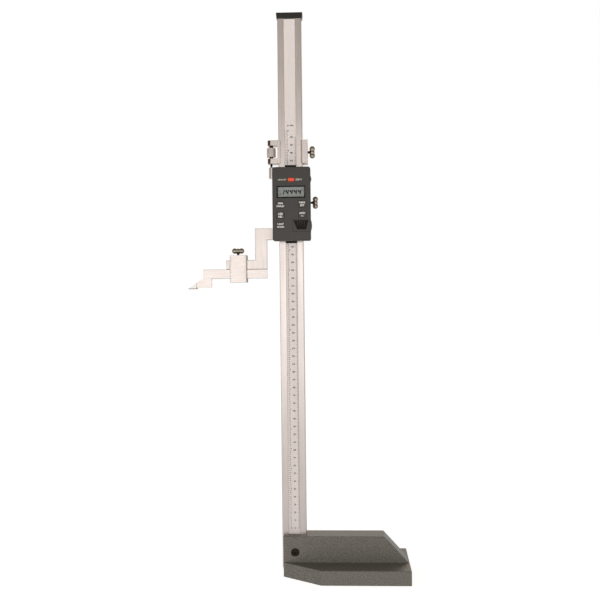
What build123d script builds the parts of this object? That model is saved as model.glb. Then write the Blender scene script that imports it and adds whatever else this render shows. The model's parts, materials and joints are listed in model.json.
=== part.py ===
from build123d import *
import os

# Digital height gauge with a 500 mm / 20 in range, as it comes apart on a bench.
#
# Millimetres, +Z up. The origin is on the surface plate, under the middle of the column.
# +X runs along the foot, and the graduated side of the column faces -Y.

os.makedirs("parts", exist_ok=True)

# ------------------------------------------------------------------ setting and fits
READING = 366.9            # height of the scriber's measuring face above the surface plate
SCALE_ZERO = 59.6          # height of the scale's zero line; the housing's lower edge reads it

RUNNING = 0.15             # each side, between a sliding frame and the column
SEAT = 0.05                # each side, between pieces that are assembled tight
SLIP = 0.1                 # each side, between small pieces that slide
BORE_FIT = 0.05            # radial, a thread or a pin in its hole

# ------------------------------------------------------------------ base
FOOT_LENGTH = 159.7
FOOT_WIDTH = 100.0
FOOT_HEIGHT = 18.4
NOSE_LENGTH = 48.4         # the foot widens over this length
BASE_END = 13.7            # near end of the base, from the column's middle
BLOCK_WIDTH = 31.0
BLOCK_HEIGHT = 51.4
SLOPE_RUN = 30.4           # the block's far end slopes down over this length
SLOPE_SETBACK = 1.3        # from the foot of the slope to the far end
SLOT_FLOOR = 8.6           # the column stands on this
CAST_RADIUS = 1.0
RELIEF_DEPTH = 2.0         # hollow under the foot
RELIEF_LAND = 9.0          # ground rim round the hollow
RELIEF_GAP = 8.0           # ground land between the column and the hollow

# ------------------------------------------------------------------ column
BEAM_WIDTH = 31.0
BEAM_DEPTH = 12.0
BEAM_TOP = 715.5
BEAM_EDGE = 0.8
STRIP_WIDTH = 14.3
GRID_THICKNESS = 0.5
FILM_THICKNESS = 0.2
STRIP_RECESS = 0.05        # the film lies this far below the column's face
STRIP_GAP = 1.0            # between the strip and the base, and the strip and the cap

CAP_HEIGHT = 7.5
CAP_ABOVE = 3.0            # height of the cap above the column's end
CAP_WALL = 0.75            # at the mouth
CAP_TAPER = 5.3            # degrees, the cap widens upwards
CAP_BEVEL = 0.7            # round its top

CLAMP_X = 1.2              # beam clamp screw, M6
CLAMP_Z = 31.0
M6_RADIUS = 3.0
M6_HEAD_RADIUS = 5.0
M6_HEAD_HEIGHT = 6.0
M6_SOCKET = 5.0            # across flats
M6_CLEARANCE = 0.3
M6_TAP_DEPTH = 8.0
COUNTERBORE_DEPTH = 6.3
COUNTERBORE_GAP = 0.4        # radial, round the screw's head
HEAD_BEVEL = 0.5
THREAD_RUNOUT = 1.0          # the tapped hole is deeper than the screw

# ------------------------------------------------------------------ lock screws
LOCK_RADIUS = 2.0          # M4 thread
THREAD_SHOWN = 4.4         # threaded length of a lock screw
STUD_RADIUS = 1.45
WING_SPAN = 16.0
LOBE_RADIUS = 3.4
WAIST = 5.0
COLLAR_OVER = 0.8          # collar under the head, larger than the stud
COLLAR_SHOWN = 0.4
LOBE_SIDES = 8             # flats of the lobe's turned outline
PAD_RADIUS = 1.6           # brass plug at the screw's tip
PAD_LENGTH = 1.3
FINE_HEAD_OUT = 6.1        # wing's middle from the fine frame's side
SLIDER_HEAD_OUT = 9.9      # wing's middle from the slider's side, clear of the housing

# ------------------------------------------------------------------ sliding frames
GIB_THICKNESS = 2.0
GIB_HEIGHT = 11.0          # across the column's edge
GIB_END_GAP = 0.8
GIB_BEVEL = 0.8

SLIDER_RISE = 2.5          # slider's lower end above the housing's lower edge
SLIDER_LENGTH = 92.5
SLIDER_LEFT_WALL = 3.85
SLIDER_RIGHT_WALL = 3.8
SLIDER_BACK = 6.0
SLIDER_BACK_RADIUS = 1.0
SLIDER_LOCK_RISE = 49.6       # lock screw above the housing's lower edge
LIP_THICKNESS = 3.35
LIP_REACH = 3.0            # over the column's front

LUG_LENGTH = 13.7
LUG_REACH = 9.0
LUG_WIDTH = 11.0

JAW_THICKNESS = 9.0
JAW_ROOT = 14.9            # height of the level arm
JAW_FALL_WIDTH = 15.4      # width of the upright arm
JAW_OUT = 31.3             # outer side of the upright arm, from the column's edge
JAW_BAR = 11.6             # height of the bar that carries the scriber
JAW_REACH = 68.6           # free end of the bar, from the column's edge
JAW_DROP = 34.8            # from the housing's lower edge to the bar's lower face
JAW_EDGE = 0.4

ROD_OUT = 9.5              # fine-feed axis, from the column's edge
ROD_RADIUS = 1.5
ROD_GAP = 0.2                # radial, where the rod passes the arms
ROD_BEVEL = 0.4
ROD_TOP_MARGIN = 5.5       # the rod ends this far below the fine frame's top
ROD_DEPTH = 11.0           # how far the rod goes into the lug
GRUB_RADIUS = 1.5          # M3 grub screws
GRUB_INSET = 12.0          # gib screws, from the slider's ends
GRUB_SUNK = 0.3            # below the surface
GRUB_SLOT = 0.5
GRUB_SLOT_DEPTH = 1.0

FINE_GAP = 4.3             # between the slider's and the fine frame's ends
FINE_LENGTH = 29.8
FINE_WEB = 0.9             # left wall behind the nut
FINE_RIGHT_WALL = 4.3
FINE_BACK = 5.35
FINE_LIP = 3.85
FINE_LIP_REACH = 2.4
FINE_BEVEL = 2.0           # slope on the right lip
ARM_HEIGHT = 6.6
ARM_OUT = 13.6             # outer end of the arms, from the column's edge
ARM_FRONT = 9.0
ARM_REAR = 7.0
ARM_BEVEL_X = 3.7
ARM_BEVEL_Y = 2.6

NUT_RADIUS = 5.8
NUT_KNURL_HEIGHT = 12.0
NUT_HUB_RADIUS = 3.25
NUT_END_GAP = 0.15
NUT_EDGE = 0.5
NUT_GROOVES = 24
NUT_GROOVE = 0.9

# ------------------------------------------------------------------ display housing
HOUSING_LEFT_OVER = 3.1    # the housing is wider than the slider, left and right
HOUSING_RIGHT_OVER = 4.0
HOUSING_HEIGHT = 92.8
HOUSING_DEPTH = 14.5
HOUSING_CORNER = 2.5
HOUSING_EDGE = 0.9
FRONT_WALL = 2.0
SIDE_WALL = 1.8
LEDGE = 3.0                # rim that seats on the slider
LEDGE_END = 5.0

BOARD_THICKNESS = 1.2
BOARD_GAP = 0.2
MAT_THICKNESS = 1.5
BOSS_RADIUS = 2.4
SCREW_RADIUS = 1.0         # M2 housing screws
SCREW_HEAD = 1.9
SCREW_LENGTH = 10.0
SCREW_INSET = 0.8          # screw axis inside the column's edge
SCREW_END = 6.5            # from the housing's ends
SCREW_DRIVE = 1.8            # cross slot
SCREW_DRIVE_WIDTH = 0.4
SCREW_DRIVE_DEPTH = 0.6
SCREW_HOLE_SPARE = 0.5       # the hole is deeper than the screw

DISPLAY_OFFSET = -0.35     # from the housing's middle
DISPLAY_RISE = 61.3        # display's middle above the housing's lower edge
BEZEL_WIDTH = 35.7
BEZEL_HEIGHT = 15.0
BEZEL_RIM = 1.2
BEZEL_FLANGE = 1.0
BEZEL_FLANGE_OVER = 1.0      # each side
BEZEL_FRONT = 0.8          # rim in front of the window
WINDOW_LIP = 0.6           # the window reaches this far behind the rim
WINDOW_THICKNESS = 1.2
LCD_THICKNESS = 1.8
CONNECTOR_LENGTH = 30.0
CONNECTOR_WIDTH = 2.0

KEY_WIDTH = 9.6
KEY_HEIGHT = 8.4
KEY_CORNER = 0.8
KEY_GAP = 0.15
KEY_FLANGE = 0.4
KEY_FLANGE_DEPTH = 0.8
KEY_TRAVEL = 0.6
KEY_BEVEL = 0.2
MAT_OVER = 2.0               # the mat is longer than the zero key
POST_WIDTH = 4.0           # carbon pill under each key
KEY_PLACES = {             # from the housing's middle, and above its lower edge
    "key_left_top": (-13.8, 45.2),
    "key_left_middle": (-13.8, 32.0),
    "key_left_bottom": (-13.8, 19.0),
    "key_right_top": (13.65, 45.9),
    "key_right_bottom": (13.65, 32.6),
}
ZERO_OFFSET = -0.05
ZERO_RISE = 76.6
ZERO_WIDTH = 8.0
ZERO_HEIGHT = 4.2
ZERO_PROUD = 0.5

CELL_RADIUS = 5.8          # LR44 button cell
CELL_THICKNESS = 5.4
CELL_GAP = 0.2
CELL_BEVEL = 0.4
CELL_INSET = 11.5          # cell's axis, from the housing's right side
CONTACT = 0.3              # contact strip thickness
CONTACT_WIDTH = 4.0
HOLDER_FLOOR = 1.0
HOLDER_OVER = 0.45           # above and below the lid's tongues
CONTACT_SHORT = 1.0          # the side contact stops short of the cell's face
LID_LENGTH = 22.5
LID_RISE = 11.65           # lid's lower edge above the housing's lower edge
LID_HEIGHT = 15.0
LID_THICKNESS = 1.5
LID_TONGUE = 0.65
LID_TAIL = 0.7               # share of the housing's depth that the lid's end covers
LID_TAIL_GAP = 0.4           # from the end to the housing's rim
LID_BULGE = 1.4
GRIP_DEPTH = 0.8
GRIP_RIBS = 4
GRIP_PITCH = 2.4
GRIP_RIB = 0.8
GRIP_RIB_SUNK = 0.15         # below the lid's face
GRIP_START = 4.5             # from the lid's inner end
GRIP_END = 1.5               # from the housing's side
GRIP_TOP = 1.2               # from the lid's upper edge
GRIP_BOTTOM = 2.2            # from its lower edge
GRIP_SLANT_LEFT = 4.0        # the recess is narrower below
GRIP_SLANT_RIGHT = 2.5

PORT_RISE = 78.0
PORT_HEIGHT = 6.4
PORT_WIDTH = 7.0
PORT_BULGE = 1.1
PORT_FLANGE = 0.6            # the cover is longer than its hole, each end

WIPER_OUT_TOP = 4.1
WIPER_OUT_BOTTOM = 2.3
WIPER_TIP = 13.6
WIPER_ROOT = 16.0

READER_THICKNESS = 1.0
HEADER_INSET = 2.0           # the headers are shorter than the reader board, each end
READER_GAP = 0.3
READER_LENGTH = 60.0
READER_SIDE_GAP = 0.6
HEADER_HEIGHT = 4.0

# ------------------------------------------------------------------ scriber
SCRIBER_LENGTH = 82.5
SCRIBER_OUT = 16.1         # inner end, from the column's edge
SCRIBER_HEIGHT = 11.8      # shank
SCRIBER_DROP = 13.0        # from the shank's lower face to the measuring face
HEEL_STEP = 10.3           # the block starts this far inside the shank's end
HEEL_LIFT = 1.8            # the block's lower face above the measuring face
TIP_REACH = 19.5           # tip, outward of the shank's end
TIP_LENGTH = 10.7          # carbide
TIP_EDGE = 0.6
SLOPE_START = 1.9

CLAMP_BOX_OUT = 52.9       # middle of the clamp box, from the column's edge
CLAMP_BOX_WIDTH = 21.4
CLAMP_BOX_WALL = 4.35      # front and back
CLAMP_BOX_FLOOR = 5.1
CLAMP_BOX_ROOF = 3.5
CLAMP_BEVEL_X = 3.5
CLAMP_BEVEL_Y = 1.3
PAD_PLATE = 2.0
PAD_PLATE_LENGTH = 14.0
PAD_LIFT = 0.9             # room for the pad to lift
CLAMP_HEAD_RISE = 6.1      # screw head's middle above the box
CLAMP_SCREW_OFFSET = 0.8   # screw's axis, outward of the box's middle

# ------------------------------------------------------------------ places worked out
BASE_LEFT = -BASE_END
BASE_RIGHT = FOOT_LENGTH - BASE_END
HALF_BEAM = BEAM_WIDTH / 2
BEAM_FRONT = -BEAM_DEPTH / 2
GROOVE_DEPTH = GRID_THICKNESS + FILM_THICKNESS + STRIP_RECESS
FILM_FRONT = BEAM_FRONT + STRIP_RECESS
CAP_BOTTOM = BEAM_TOP + CAP_ABOVE - CAP_HEIGHT

SLIDER_LEFT = -(HALF_BEAM + RUNNING + SLIDER_LEFT_WALL)
GIB_LEFT = HALF_BEAM + SLIP
GIB_RIGHT = GIB_LEFT + GIB_THICKNESS
FRAME_INNER_RIGHT = GIB_RIGHT + SLIP
SLIDER_RIGHT = FRAME_INNER_RIGHT + SLIDER_RIGHT_WALL

HOUSING_Z = SCALE_ZERO + READING
HOUSING_TOP = HOUSING_Z + HOUSING_HEIGHT
LIP_BACK = BEAM_FRONT - RUNNING
LIP_FRONT = LIP_BACK - LIP_THICKNESS
HOUSING_FRONT = LIP_FRONT - HOUSING_DEPTH
HOUSING_LEFT = SLIDER_LEFT - HOUSING_LEFT_OVER
HOUSING_RIGHT = SLIDER_RIGHT + HOUSING_RIGHT_OVER
HOUSING_WIDTH = HOUSING_RIGHT - HOUSING_LEFT
HOUSING_X = (HOUSING_LEFT + HOUSING_RIGHT) / 2
INNER_FRONT = HOUSING_FRONT + FRONT_WALL
BOARD_FRONT = LIP_FRONT - BOARD_THICKNESS
MAT_FRONT = BOARD_FRONT - MAT_THICKNESS

SLIDER_Z = HOUSING_Z + SLIDER_RISE
SLIDER_TOP = SLIDER_Z + SLIDER_LENGTH
ROD_X = -(HALF_BEAM + ROD_OUT)
JAW_LEFT = -(HALF_BEAM + JAW_OUT)
JAW_END = -(HALF_BEAM + JAW_REACH)
BAR_BOTTOM = HOUSING_Z - JAW_DROP
BAR_TOP = BAR_BOTTOM + JAW_BAR
LUG_BOTTOM = SLIDER_TOP - LUG_LENGTH

FINE_Z = SLIDER_TOP + FINE_GAP
FINE_TOP = FINE_Z + FINE_LENGTH
FINE_LEFT = -(HALF_BEAM + RUNNING + FINE_WEB)
FINE_RIGHT = FRAME_INNER_RIGHT + FINE_RIGHT_WALL
ARM_LEFT = -(HALF_BEAM + ARM_OUT)
FINE_LOCK_Z = FINE_Z + FINE_LENGTH / 2
SLIDER_LOCK_Z = HOUSING_Z + SLIDER_LOCK_RISE

SHANK_TOP = BAR_BOTTOM
SHANK_BOTTOM = SHANK_TOP - SCRIBER_HEIGHT
FACE_Z = SHANK_BOTTOM - SCRIBER_DROP


def facing(y):
    """Plane that faces the reader at depth y; its sketches use X and Z as they are."""
    return Plane.XZ.offset(-y)


def level(z):
    """Level plane at height z."""
    return Plane.XY.offset(z)


def save(part, name):
    """Label a finished piece and write it to its own file."""
    part.label = name
    export_step(part, f"parts/{name}.step")


# ================================================================== base and column
FOOT_OUTLINE = [
    (BASE_LEFT, -BLOCK_WIDTH / 2),
    (BASE_LEFT + NOSE_LENGTH, -FOOT_WIDTH / 2),
    (BASE_RIGHT, -FOOT_WIDTH / 2),
    (BASE_RIGHT, FOOT_WIDTH / 2),
    (BASE_LEFT + NOSE_LENGTH, FOOT_WIDTH / 2),
    (BASE_LEFT, BLOCK_WIDTH / 2),
]

# the block that stands on the foot, with its sloping far end
with BuildPart() as block:
    with BuildSketch(Plane.XZ):
        with BuildLine():
            Polyline(
                (BASE_LEFT, 0),
                (BASE_LEFT, BLOCK_HEIGHT),
                (BASE_RIGHT - SLOPE_SETBACK - SLOPE_RUN, BLOCK_HEIGHT),
                (BASE_RIGHT - SLOPE_SETBACK, FOOT_HEIGHT),
                (BASE_RIGHT - SLOPE_SETBACK, 0),
                close=True,
            )
        make_face()
    extrude(amount=BLOCK_WIDTH / 2, both=True)
    crown = block.faces().sort_by(Axis.Z)[-1].edges().filter_by(Axis.X)
    sloping = block.edges().filter_by(
        lambda edge: abs(edge.tangent_at(0.5).X) > 0.5 and abs(edge.tangent_at(0.5).Z) > 0.5
    )
    fillet(crown + sloping, radius=CAST_RADIUS)

with BuildPart() as base_casting:
    with BuildSketch(Plane.XY):
        with BuildLine():
            Polyline(FOOT_OUTLINE, close=True)
        make_face()
    extrude(amount=FOOT_HEIGHT)
    rim = base_casting.faces().sort_by(Axis.Z)[-1].edges()
    fillet(rim.sort_by(Axis.X)[1:], radius=CAST_RADIUS)
    add(block.part)

    # open slot for the column
    with BuildSketch(level(SLOT_FLOOR)):
        with Locations((HALF_BEAM + SEAT, 0)):
            Rectangle(
                HALF_BEAM + SEAT + BASE_END + 1,
                BEAM_DEPTH + 2 * SEAT,
                align=(Align.MAX, Align.CENTER),
            )
    extrude(amount=BLOCK_HEIGHT, mode=Mode.SUBTRACT)

    # clamp screw: clearance through the front wall, thread in the back wall
    with Locations(Plane(origin=(CLAMP_X, -BLOCK_WIDTH / 2, CLAMP_Z), z_dir=(0, -1, 0))):
        CounterBoreHole(
            radius=M6_RADIUS + M6_CLEARANCE,
            counter_bore_radius=M6_HEAD_RADIUS + COUNTERBORE_GAP,
            counter_bore_depth=COUNTERBORE_DEPTH,
            depth=BLOCK_WIDTH / 2,
        )
    with Locations(Plane(origin=(CLAMP_X, BEAM_DEPTH / 2, CLAMP_Z), z_dir=(0, -1, 0))):
        Hole(radius=M6_RADIUS + BORE_FIT, depth=M6_TAP_DEPTH)

    # ground rim and the hollow inside it
    with BuildSketch(Plane.XY):
        with BuildLine():
            Polyline(FOOT_OUTLINE, close=True)
        make_face()
        offset(amount=-RELIEF_LAND)
        with Locations((HALF_BEAM + RELIEF_GAP, 0)):
            Rectangle(FOOT_LENGTH, FOOT_WIDTH, align=(Align.MAX, Align.CENTER), mode=Mode.SUBTRACT)
    extrude(amount=RELIEF_DEPTH, mode=Mode.SUBTRACT)

save(base_casting.part, "base_casting")

with BuildPart() as beam:
    with BuildSketch(level(SLOT_FLOOR)) as section:
        Rectangle(BEAM_WIDTH, BEAM_DEPTH)
        chamfer(section.vertices(), length=BEAM_EDGE)
        with Locations((0, BEAM_FRONT)):
            Rectangle(
                STRIP_WIDTH + 2 * SEAT,
                GROOVE_DEPTH,
                align=(Align.CENTER, Align.MIN),
                mode=Mode.SUBTRACT,
            )
    extrude(amount=BEAM_TOP - SLOT_FLOOR)
    with BuildSketch(Plane.XZ):
        with Locations((CLAMP_X, CLAMP_Z)):
            Circle(M6_RADIUS + M6_CLEARANCE)
    extrude(amount=BEAM_DEPTH, both=True, mode=Mode.SUBTRACT)

save(beam.part, "beam")

STRIP_BOTTOM = BLOCK_HEIGHT + STRIP_GAP
STRIP_LENGTH = CAP_BOTTOM - STRIP_GAP - STRIP_BOTTOM

with BuildPart() as encoder_strip:
    with BuildSketch(facing(BEAM_FRONT + GROOVE_DEPTH)):
        with Locations((0, STRIP_BOTTOM)):
            Rectangle(STRIP_WIDTH, STRIP_LENGTH, align=(Align.CENTER, Align.MIN))
    extrude(amount=GRID_THICKNESS)

save(encoder_strip.part, "encoder_strip")

with BuildPart() as scale_strip:
    with BuildSketch(facing(FILM_FRONT + FILM_THICKNESS)):
        with Locations((0, STRIP_BOTTOM)):
            Rectangle(STRIP_WIDTH, STRIP_LENGTH, align=(Align.CENTER, Align.MIN))
    extrude(amount=FILM_THICKNESS)

save(scale_strip.part, "scale_strip")

with BuildPart() as top_cap:
    mouth_width = BEAM_WIDTH + 2 * CAP_WALL
    mouth_depth = BEAM_DEPTH + 2 * CAP_WALL
    with BuildSketch(level(CAP_BOTTOM)):
        Rectangle(mouth_width, mouth_depth)
    extrude(amount=CAP_HEIGHT, taper=-CAP_TAPER)
    chamfer(top_cap.edges().filter_by(lambda e: abs(e.tangent_at(0.5).Z) > 0.5), length=BEAM_EDGE)
    chamfer(top_cap.faces().sort_by(Axis.Z)[-1].edges(), length=CAP_BEVEL)
    with BuildSketch(level(CAP_BOTTOM)):
        Rectangle(BEAM_WIDTH + 2 * SEAT, BEAM_DEPTH + 2 * SEAT)
    extrude(amount=BEAM_TOP - CAP_BOTTOM, mode=Mode.SUBTRACT)

save(top_cap.part, "top_cap")

HEAD_SEAT = -BLOCK_WIDTH / 2 + COUNTERBORE_DEPTH
SCREW_TIP = BEAM_DEPTH / 2 + M6_TAP_DEPTH - THREAD_RUNOUT

with BuildPart() as beam_clamp_screw:
    with BuildSketch(facing(HEAD_SEAT)):
        with Locations((CLAMP_X, CLAMP_Z)):
            Circle(M6_HEAD_RADIUS)
    extrude(amount=M6_HEAD_HEIGHT)
    head_face = beam_clamp_screw.faces().sort_by(Axis.Y)[0]
    chamfer(head_face.edges(), length=HEAD_BEVEL)
    with BuildSketch(facing(HEAD_SEAT - M6_HEAD_HEIGHT)):
        with Locations((CLAMP_X, CLAMP_Z)):
            RegularPolygon(radius=M6_SOCKET / 2, side_count=6, major_radius=False)
    extrude(amount=-M6_HEAD_HEIGHT / 2, mode=Mode.SUBTRACT)
    with BuildSketch(facing(SCREW_TIP)):
        with Locations((CLAMP_X, CLAMP_Z)):
            Circle(M6_RADIUS)
    extrude(amount=SCREW_TIP - HEAD_SEAT)

save(beam_clamp_screw.part, "beam_clamp_screw")


# ================================================================== pieces that repeat
def wing_screw(tip, head_out):
    """M4 lock screw: tip is the plane of its point, facing out, its x along the wings."""
    thread_length = min(head_out - LOBE_RADIUS - 1, THREAD_SHOWN)
    with BuildPart() as screw:
        with BuildSketch(tip):
            Circle(LOCK_RADIUS)
        extrude(amount=thread_length)
        with BuildSketch(tip):
            Circle(STUD_RADIUS)
        extrude(amount=head_out)
        # the head is turned about its long axis: two lobes and a waist
        wings = Plane(origin=tip.origin + tip.z_dir * head_out, x_dir=tip.x_dir, z_dir=tip.y_dir)
        lobe_place = WING_SPAN / 2 - LOBE_RADIUS
        with BuildSketch(wings):
            with Locations((-lobe_place, 0), (lobe_place, 0)):
                RegularPolygon(radius=LOBE_RADIUS, side_count=LOBE_SIDES, rotation=180 / LOBE_SIDES)
            Rectangle(2 * lobe_place, WAIST)
            Rectangle(WING_SPAN + 1, LOBE_RADIUS + 1, align=(Align.CENTER, Align.MAX), mode=Mode.SUBTRACT)
        revolve(axis=Axis(wings.origin, wings.x_dir))
        # collar between stud and head
        with BuildSketch(tip.offset(head_out - LOBE_RADIUS - COLLAR_SHOWN)):
            Circle(STUD_RADIUS + COLLAR_OVER)
        extrude(amount=LOBE_RADIUS)
    return screw.part


def frame_section(left, right, back, lip_front, reach, bevel):
    """C-shaped outline that goes round the column, with room for a gib on the right."""
    inner_left = -(HALF_BEAM + RUNNING)
    inner_back = BEAM_DEPTH / 2 + RUNNING
    return [
        (-(HALF_BEAM - reach), LIP_BACK),
        (-(HALF_BEAM - reach), lip_front),
        (left, lip_front),
        (left, inner_back + back),
        (right, inner_back + back),
        (right, lip_front),
        (HALF_BEAM - reach + bevel, lip_front),
        (HALF_BEAM - reach, LIP_BACK),
        (FRAME_INNER_RIGHT, LIP_BACK),
        (FRAME_INNER_RIGHT, inner_back),
        (inner_left, inner_back),
        (inner_left, LIP_BACK),
    ]


def gib(bottom, top):
    """Strip between a frame's right wall and the column's edge."""
    with BuildPart() as strip:
        with BuildSketch(Plane.YZ.offset(GIB_LEFT)) as side:
            with Locations((0, (bottom + top) / 2)):
                Rectangle(GIB_HEIGHT, top - bottom - 2 * GIB_END_GAP)
            chamfer(side.vertices(), length=GIB_BEVEL)
        extrude(amount=GIB_THICKNESS)
    return strip.part


def lock_plug(z):
    """Brass plug between a lock screw and its gib."""
    with BuildPart() as plug:
        with BuildSketch(Plane.YZ.offset(GIB_RIGHT + SEAT)):
            with Locations((0, z)):
                Circle(PAD_RADIUS)
        extrude(amount=PAD_LENGTH)
    return plug.part


def side_tip(z):
    """Point of a lock screw that comes in from the right; its wings stand upright."""
    return Plane(origin=(GIB_RIGHT + SEAT + PAD_LENGTH, 0, z), x_dir=(0, 0, 1), z_dir=(1, 0, 0))


# ================================================================== fine-feed frame
with BuildPart() as fine_frame:
    with BuildSketch(level(FINE_Z)):
        with BuildLine():
            Polyline(
                frame_section(
                    FINE_LEFT, FINE_RIGHT, FINE_BACK, LIP_BACK - FINE_LIP, FINE_LIP_REACH, FINE_BEVEL
                ),
                close=True,
            )
        make_face()
    extrude(amount=FINE_LENGTH)
    # two arms that hold the nut between them
    with BuildSketch(level(FINE_Z), level(FINE_TOP - ARM_HEIGHT)):
        with BuildLine():
            Polyline(
                (FINE_LEFT + SEAT, -ARM_FRONT),
                (ARM_LEFT + ARM_BEVEL_X, -ARM_FRONT),
                (ARM_LEFT, -ARM_FRONT + ARM_BEVEL_Y),
                (ARM_LEFT, ARM_REAR),
                (FINE_LEFT + SEAT, ARM_REAR),
                close=True,
            )
        make_face()
    extrude(amount=ARM_HEIGHT)
    with BuildSketch(level(FINE_Z)):
        with Locations((ROD_X, 0)):
            Circle(ROD_RADIUS + ROD_GAP)
    extrude(amount=FINE_LENGTH, mode=Mode.SUBTRACT)
    with BuildSketch(Plane.YZ.offset(FRAME_INNER_RIGHT - SLIP)):
        with Locations((0, FINE_LOCK_Z)):
            Circle(LOCK_RADIUS + BORE_FIT)
    extrude(amount=FINE_RIGHT_WALL + 1, mode=Mode.SUBTRACT)

save(fine_frame.part, "fine_frame")
save(gib(FINE_Z, FINE_TOP), "fine_gib")
save(lock_plug(FINE_LOCK_Z), "fine_lock_pad")
save(
    wing_screw(side_tip(FINE_LOCK_Z), FINE_RIGHT + FINE_HEAD_OUT - GIB_RIGHT - SEAT - PAD_LENGTH),
    "fine_lock_screw",
)

NUT_BOTTOM = FINE_Z + ARM_HEIGHT + NUT_END_GAP
NUT_TOP = FINE_TOP - ARM_HEIGHT - NUT_END_GAP
KNURL_BOTTOM = (NUT_BOTTOM + NUT_TOP) / 2 - NUT_KNURL_HEIGHT / 2

with BuildPart() as fine_nut:
    with BuildSketch(level(NUT_BOTTOM)):
        with Locations((ROD_X, 0)):
            Circle(NUT_HUB_RADIUS)
    extrude(amount=NUT_TOP - NUT_BOTTOM)
    with BuildSketch(level(KNURL_BOTTOM)):
        with Locations((ROD_X, 0)):
            Circle(NUT_RADIUS)
    extrude(amount=NUT_KNURL_HEIGHT)
    rims = fine_nut.edges().filter_by(GeomType.CIRCLE).filter_by(lambda e: e.radius > NUT_HUB_RADIUS + 1)
    chamfer(rims, length=NUT_EDGE)
    with BuildSketch(level(KNURL_BOTTOM)):
        with Locations((ROD_X, 0)):
            with PolarLocations(NUT_RADIUS, NUT_GROOVES):
                Rectangle(NUT_GROOVE, NUT_GROOVE, rotation=45)
    extrude(amount=NUT_KNURL_HEIGHT, mode=Mode.SUBTRACT)
    with BuildSketch(level(NUT_BOTTOM)):
        with Locations((ROD_X, 0)):
            Circle(ROD_RADIUS + BORE_FIT)
    extrude(amount=NUT_TOP - NUT_BOTTOM, mode=Mode.SUBTRACT)

save(fine_nut.part, "fine_nut")

# ================================================================== slider and jaw
SCREW_PLACES = [
    (side * (HALF_BEAM - SCREW_INSET), height)
    for side in (-1, 1)
    for height in (HOUSING_Z + SCREW_END, HOUSING_TOP - SCREW_END)
]
GRUB_HEIGHTS = (SLIDER_Z + GRUB_INSET, SLIDER_TOP - GRUB_INSET)
ROD_BOTTOM = SLIDER_TOP - ROD_DEPTH
GRUB_Z = SLIDER_TOP - LUG_LENGTH / 2
GRUB_END = SLIDER_LEFT - LUG_REACH + GRUB_SUNK

with BuildPart() as slider_frame:
    with BuildSketch(level(SLIDER_Z)):
        with BuildLine():
            Polyline(
                frame_section(SLIDER_LEFT, SLIDER_RIGHT, SLIDER_BACK, LIP_FRONT, LIP_REACH, 0), close=True
            )
        make_face()
    extrude(amount=SLIDER_LENGTH)
    back_edges = slider_frame.edges().filter_by(Axis.Z).group_by(Axis.Y)[-1]
    fillet(back_edges, radius=SLIDER_BACK_RADIUS)

    # lug for the fine-feed rod, round at its outer end
    lug_round = LUG_WIDTH / 2
    with BuildSketch(level(LUG_BOTTOM)):
        with BuildLine():
            Polyline(
                (SLIDER_LEFT + 1, -lug_round),
                (SLIDER_LEFT, -lug_round),
                (ROD_X, -LUG_REACH / 2),
            )
            ThreePointArc(
                (ROD_X, -LUG_REACH / 2), (SLIDER_LEFT - LUG_REACH, 0), (ROD_X, LUG_REACH / 2)
            )
            Polyline(
                (ROD_X, LUG_REACH / 2),
                (SLIDER_LEFT, lug_round),
                (SLIDER_LEFT + 1, lug_round),
                (SLIDER_LEFT + 1, -lug_round),
            )
        make_face()
    extrude(amount=LUG_LENGTH)

    # jaw: a level arm, an upright arm and the bar that carries the scriber
    with BuildSketch(facing(JAW_THICKNESS / 2)):
        with BuildLine():
            Polyline(
                (SLIDER_LEFT + 1, SLIDER_Z),
                (SLIDER_LEFT + 1, SLIDER_Z + JAW_ROOT),
                (JAW_LEFT, SLIDER_Z + JAW_ROOT),
                (JAW_LEFT, BAR_TOP),
                (JAW_END, BAR_TOP),
                (JAW_END, BAR_BOTTOM),
                (JAW_LEFT + JAW_FALL_WIDTH, BAR_BOTTOM),
                (JAW_LEFT + JAW_FALL_WIDTH, SLIDER_Z),
                close=True,
            )
        make_face()
    extrude(amount=JAW_THICKNESS)
    outline_edges = slider_frame.edges().filter_by(
        lambda e: e.center().X < SLIDER_LEFT - 0.1
        and e.center().Z < SLIDER_Z + JAW_ROOT + 0.1
        and abs(abs(e.center().Y) - JAW_THICKNESS / 2) < 0.01
    )
    chamfer(outline_edges, length=JAW_EDGE)

    # rod hole, grub screw holes, lock screw hole and countersunk housing screws
    with BuildSketch(level(ROD_BOTTOM)):
        with Locations((ROD_X, 0)):
            Circle(ROD_RADIUS + BORE_FIT)
    extrude(amount=ROD_DEPTH, mode=Mode.SUBTRACT)
    with BuildSketch(Plane.YZ.offset(SLIDER_LEFT - LUG_REACH)):
        with Locations((0, GRUB_Z)):
            Circle(GRUB_RADIUS + BORE_FIT)
    extrude(amount=ROD_X - SLIDER_LEFT + LUG_REACH, mode=Mode.SUBTRACT)
    with BuildSketch(Plane.YZ.offset(FRAME_INNER_RIGHT - SLIP)):
        with Locations([(0, height) for height in GRUB_HEIGHTS]):
            Circle(GRUB_RADIUS + BORE_FIT)
        with Locations((0, SLIDER_LOCK_Z)):
            Circle(LOCK_RADIUS + BORE_FIT)
    extrude(amount=SLIDER_RIGHT_WALL + 1, mode=Mode.SUBTRACT)
    with Locations([Plane(origin=(x, LIP_BACK, z), z_dir=(0, 1, 0)) for x, z in SCREW_PLACES]):
        CounterSinkHole(
            radius=SCREW_RADIUS + BORE_FIT,
            counter_sink_radius=SCREW_HEAD + BORE_FIT,
            depth=LIP_THICKNESS,
            counter_sink_angle=90,
        )

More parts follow.
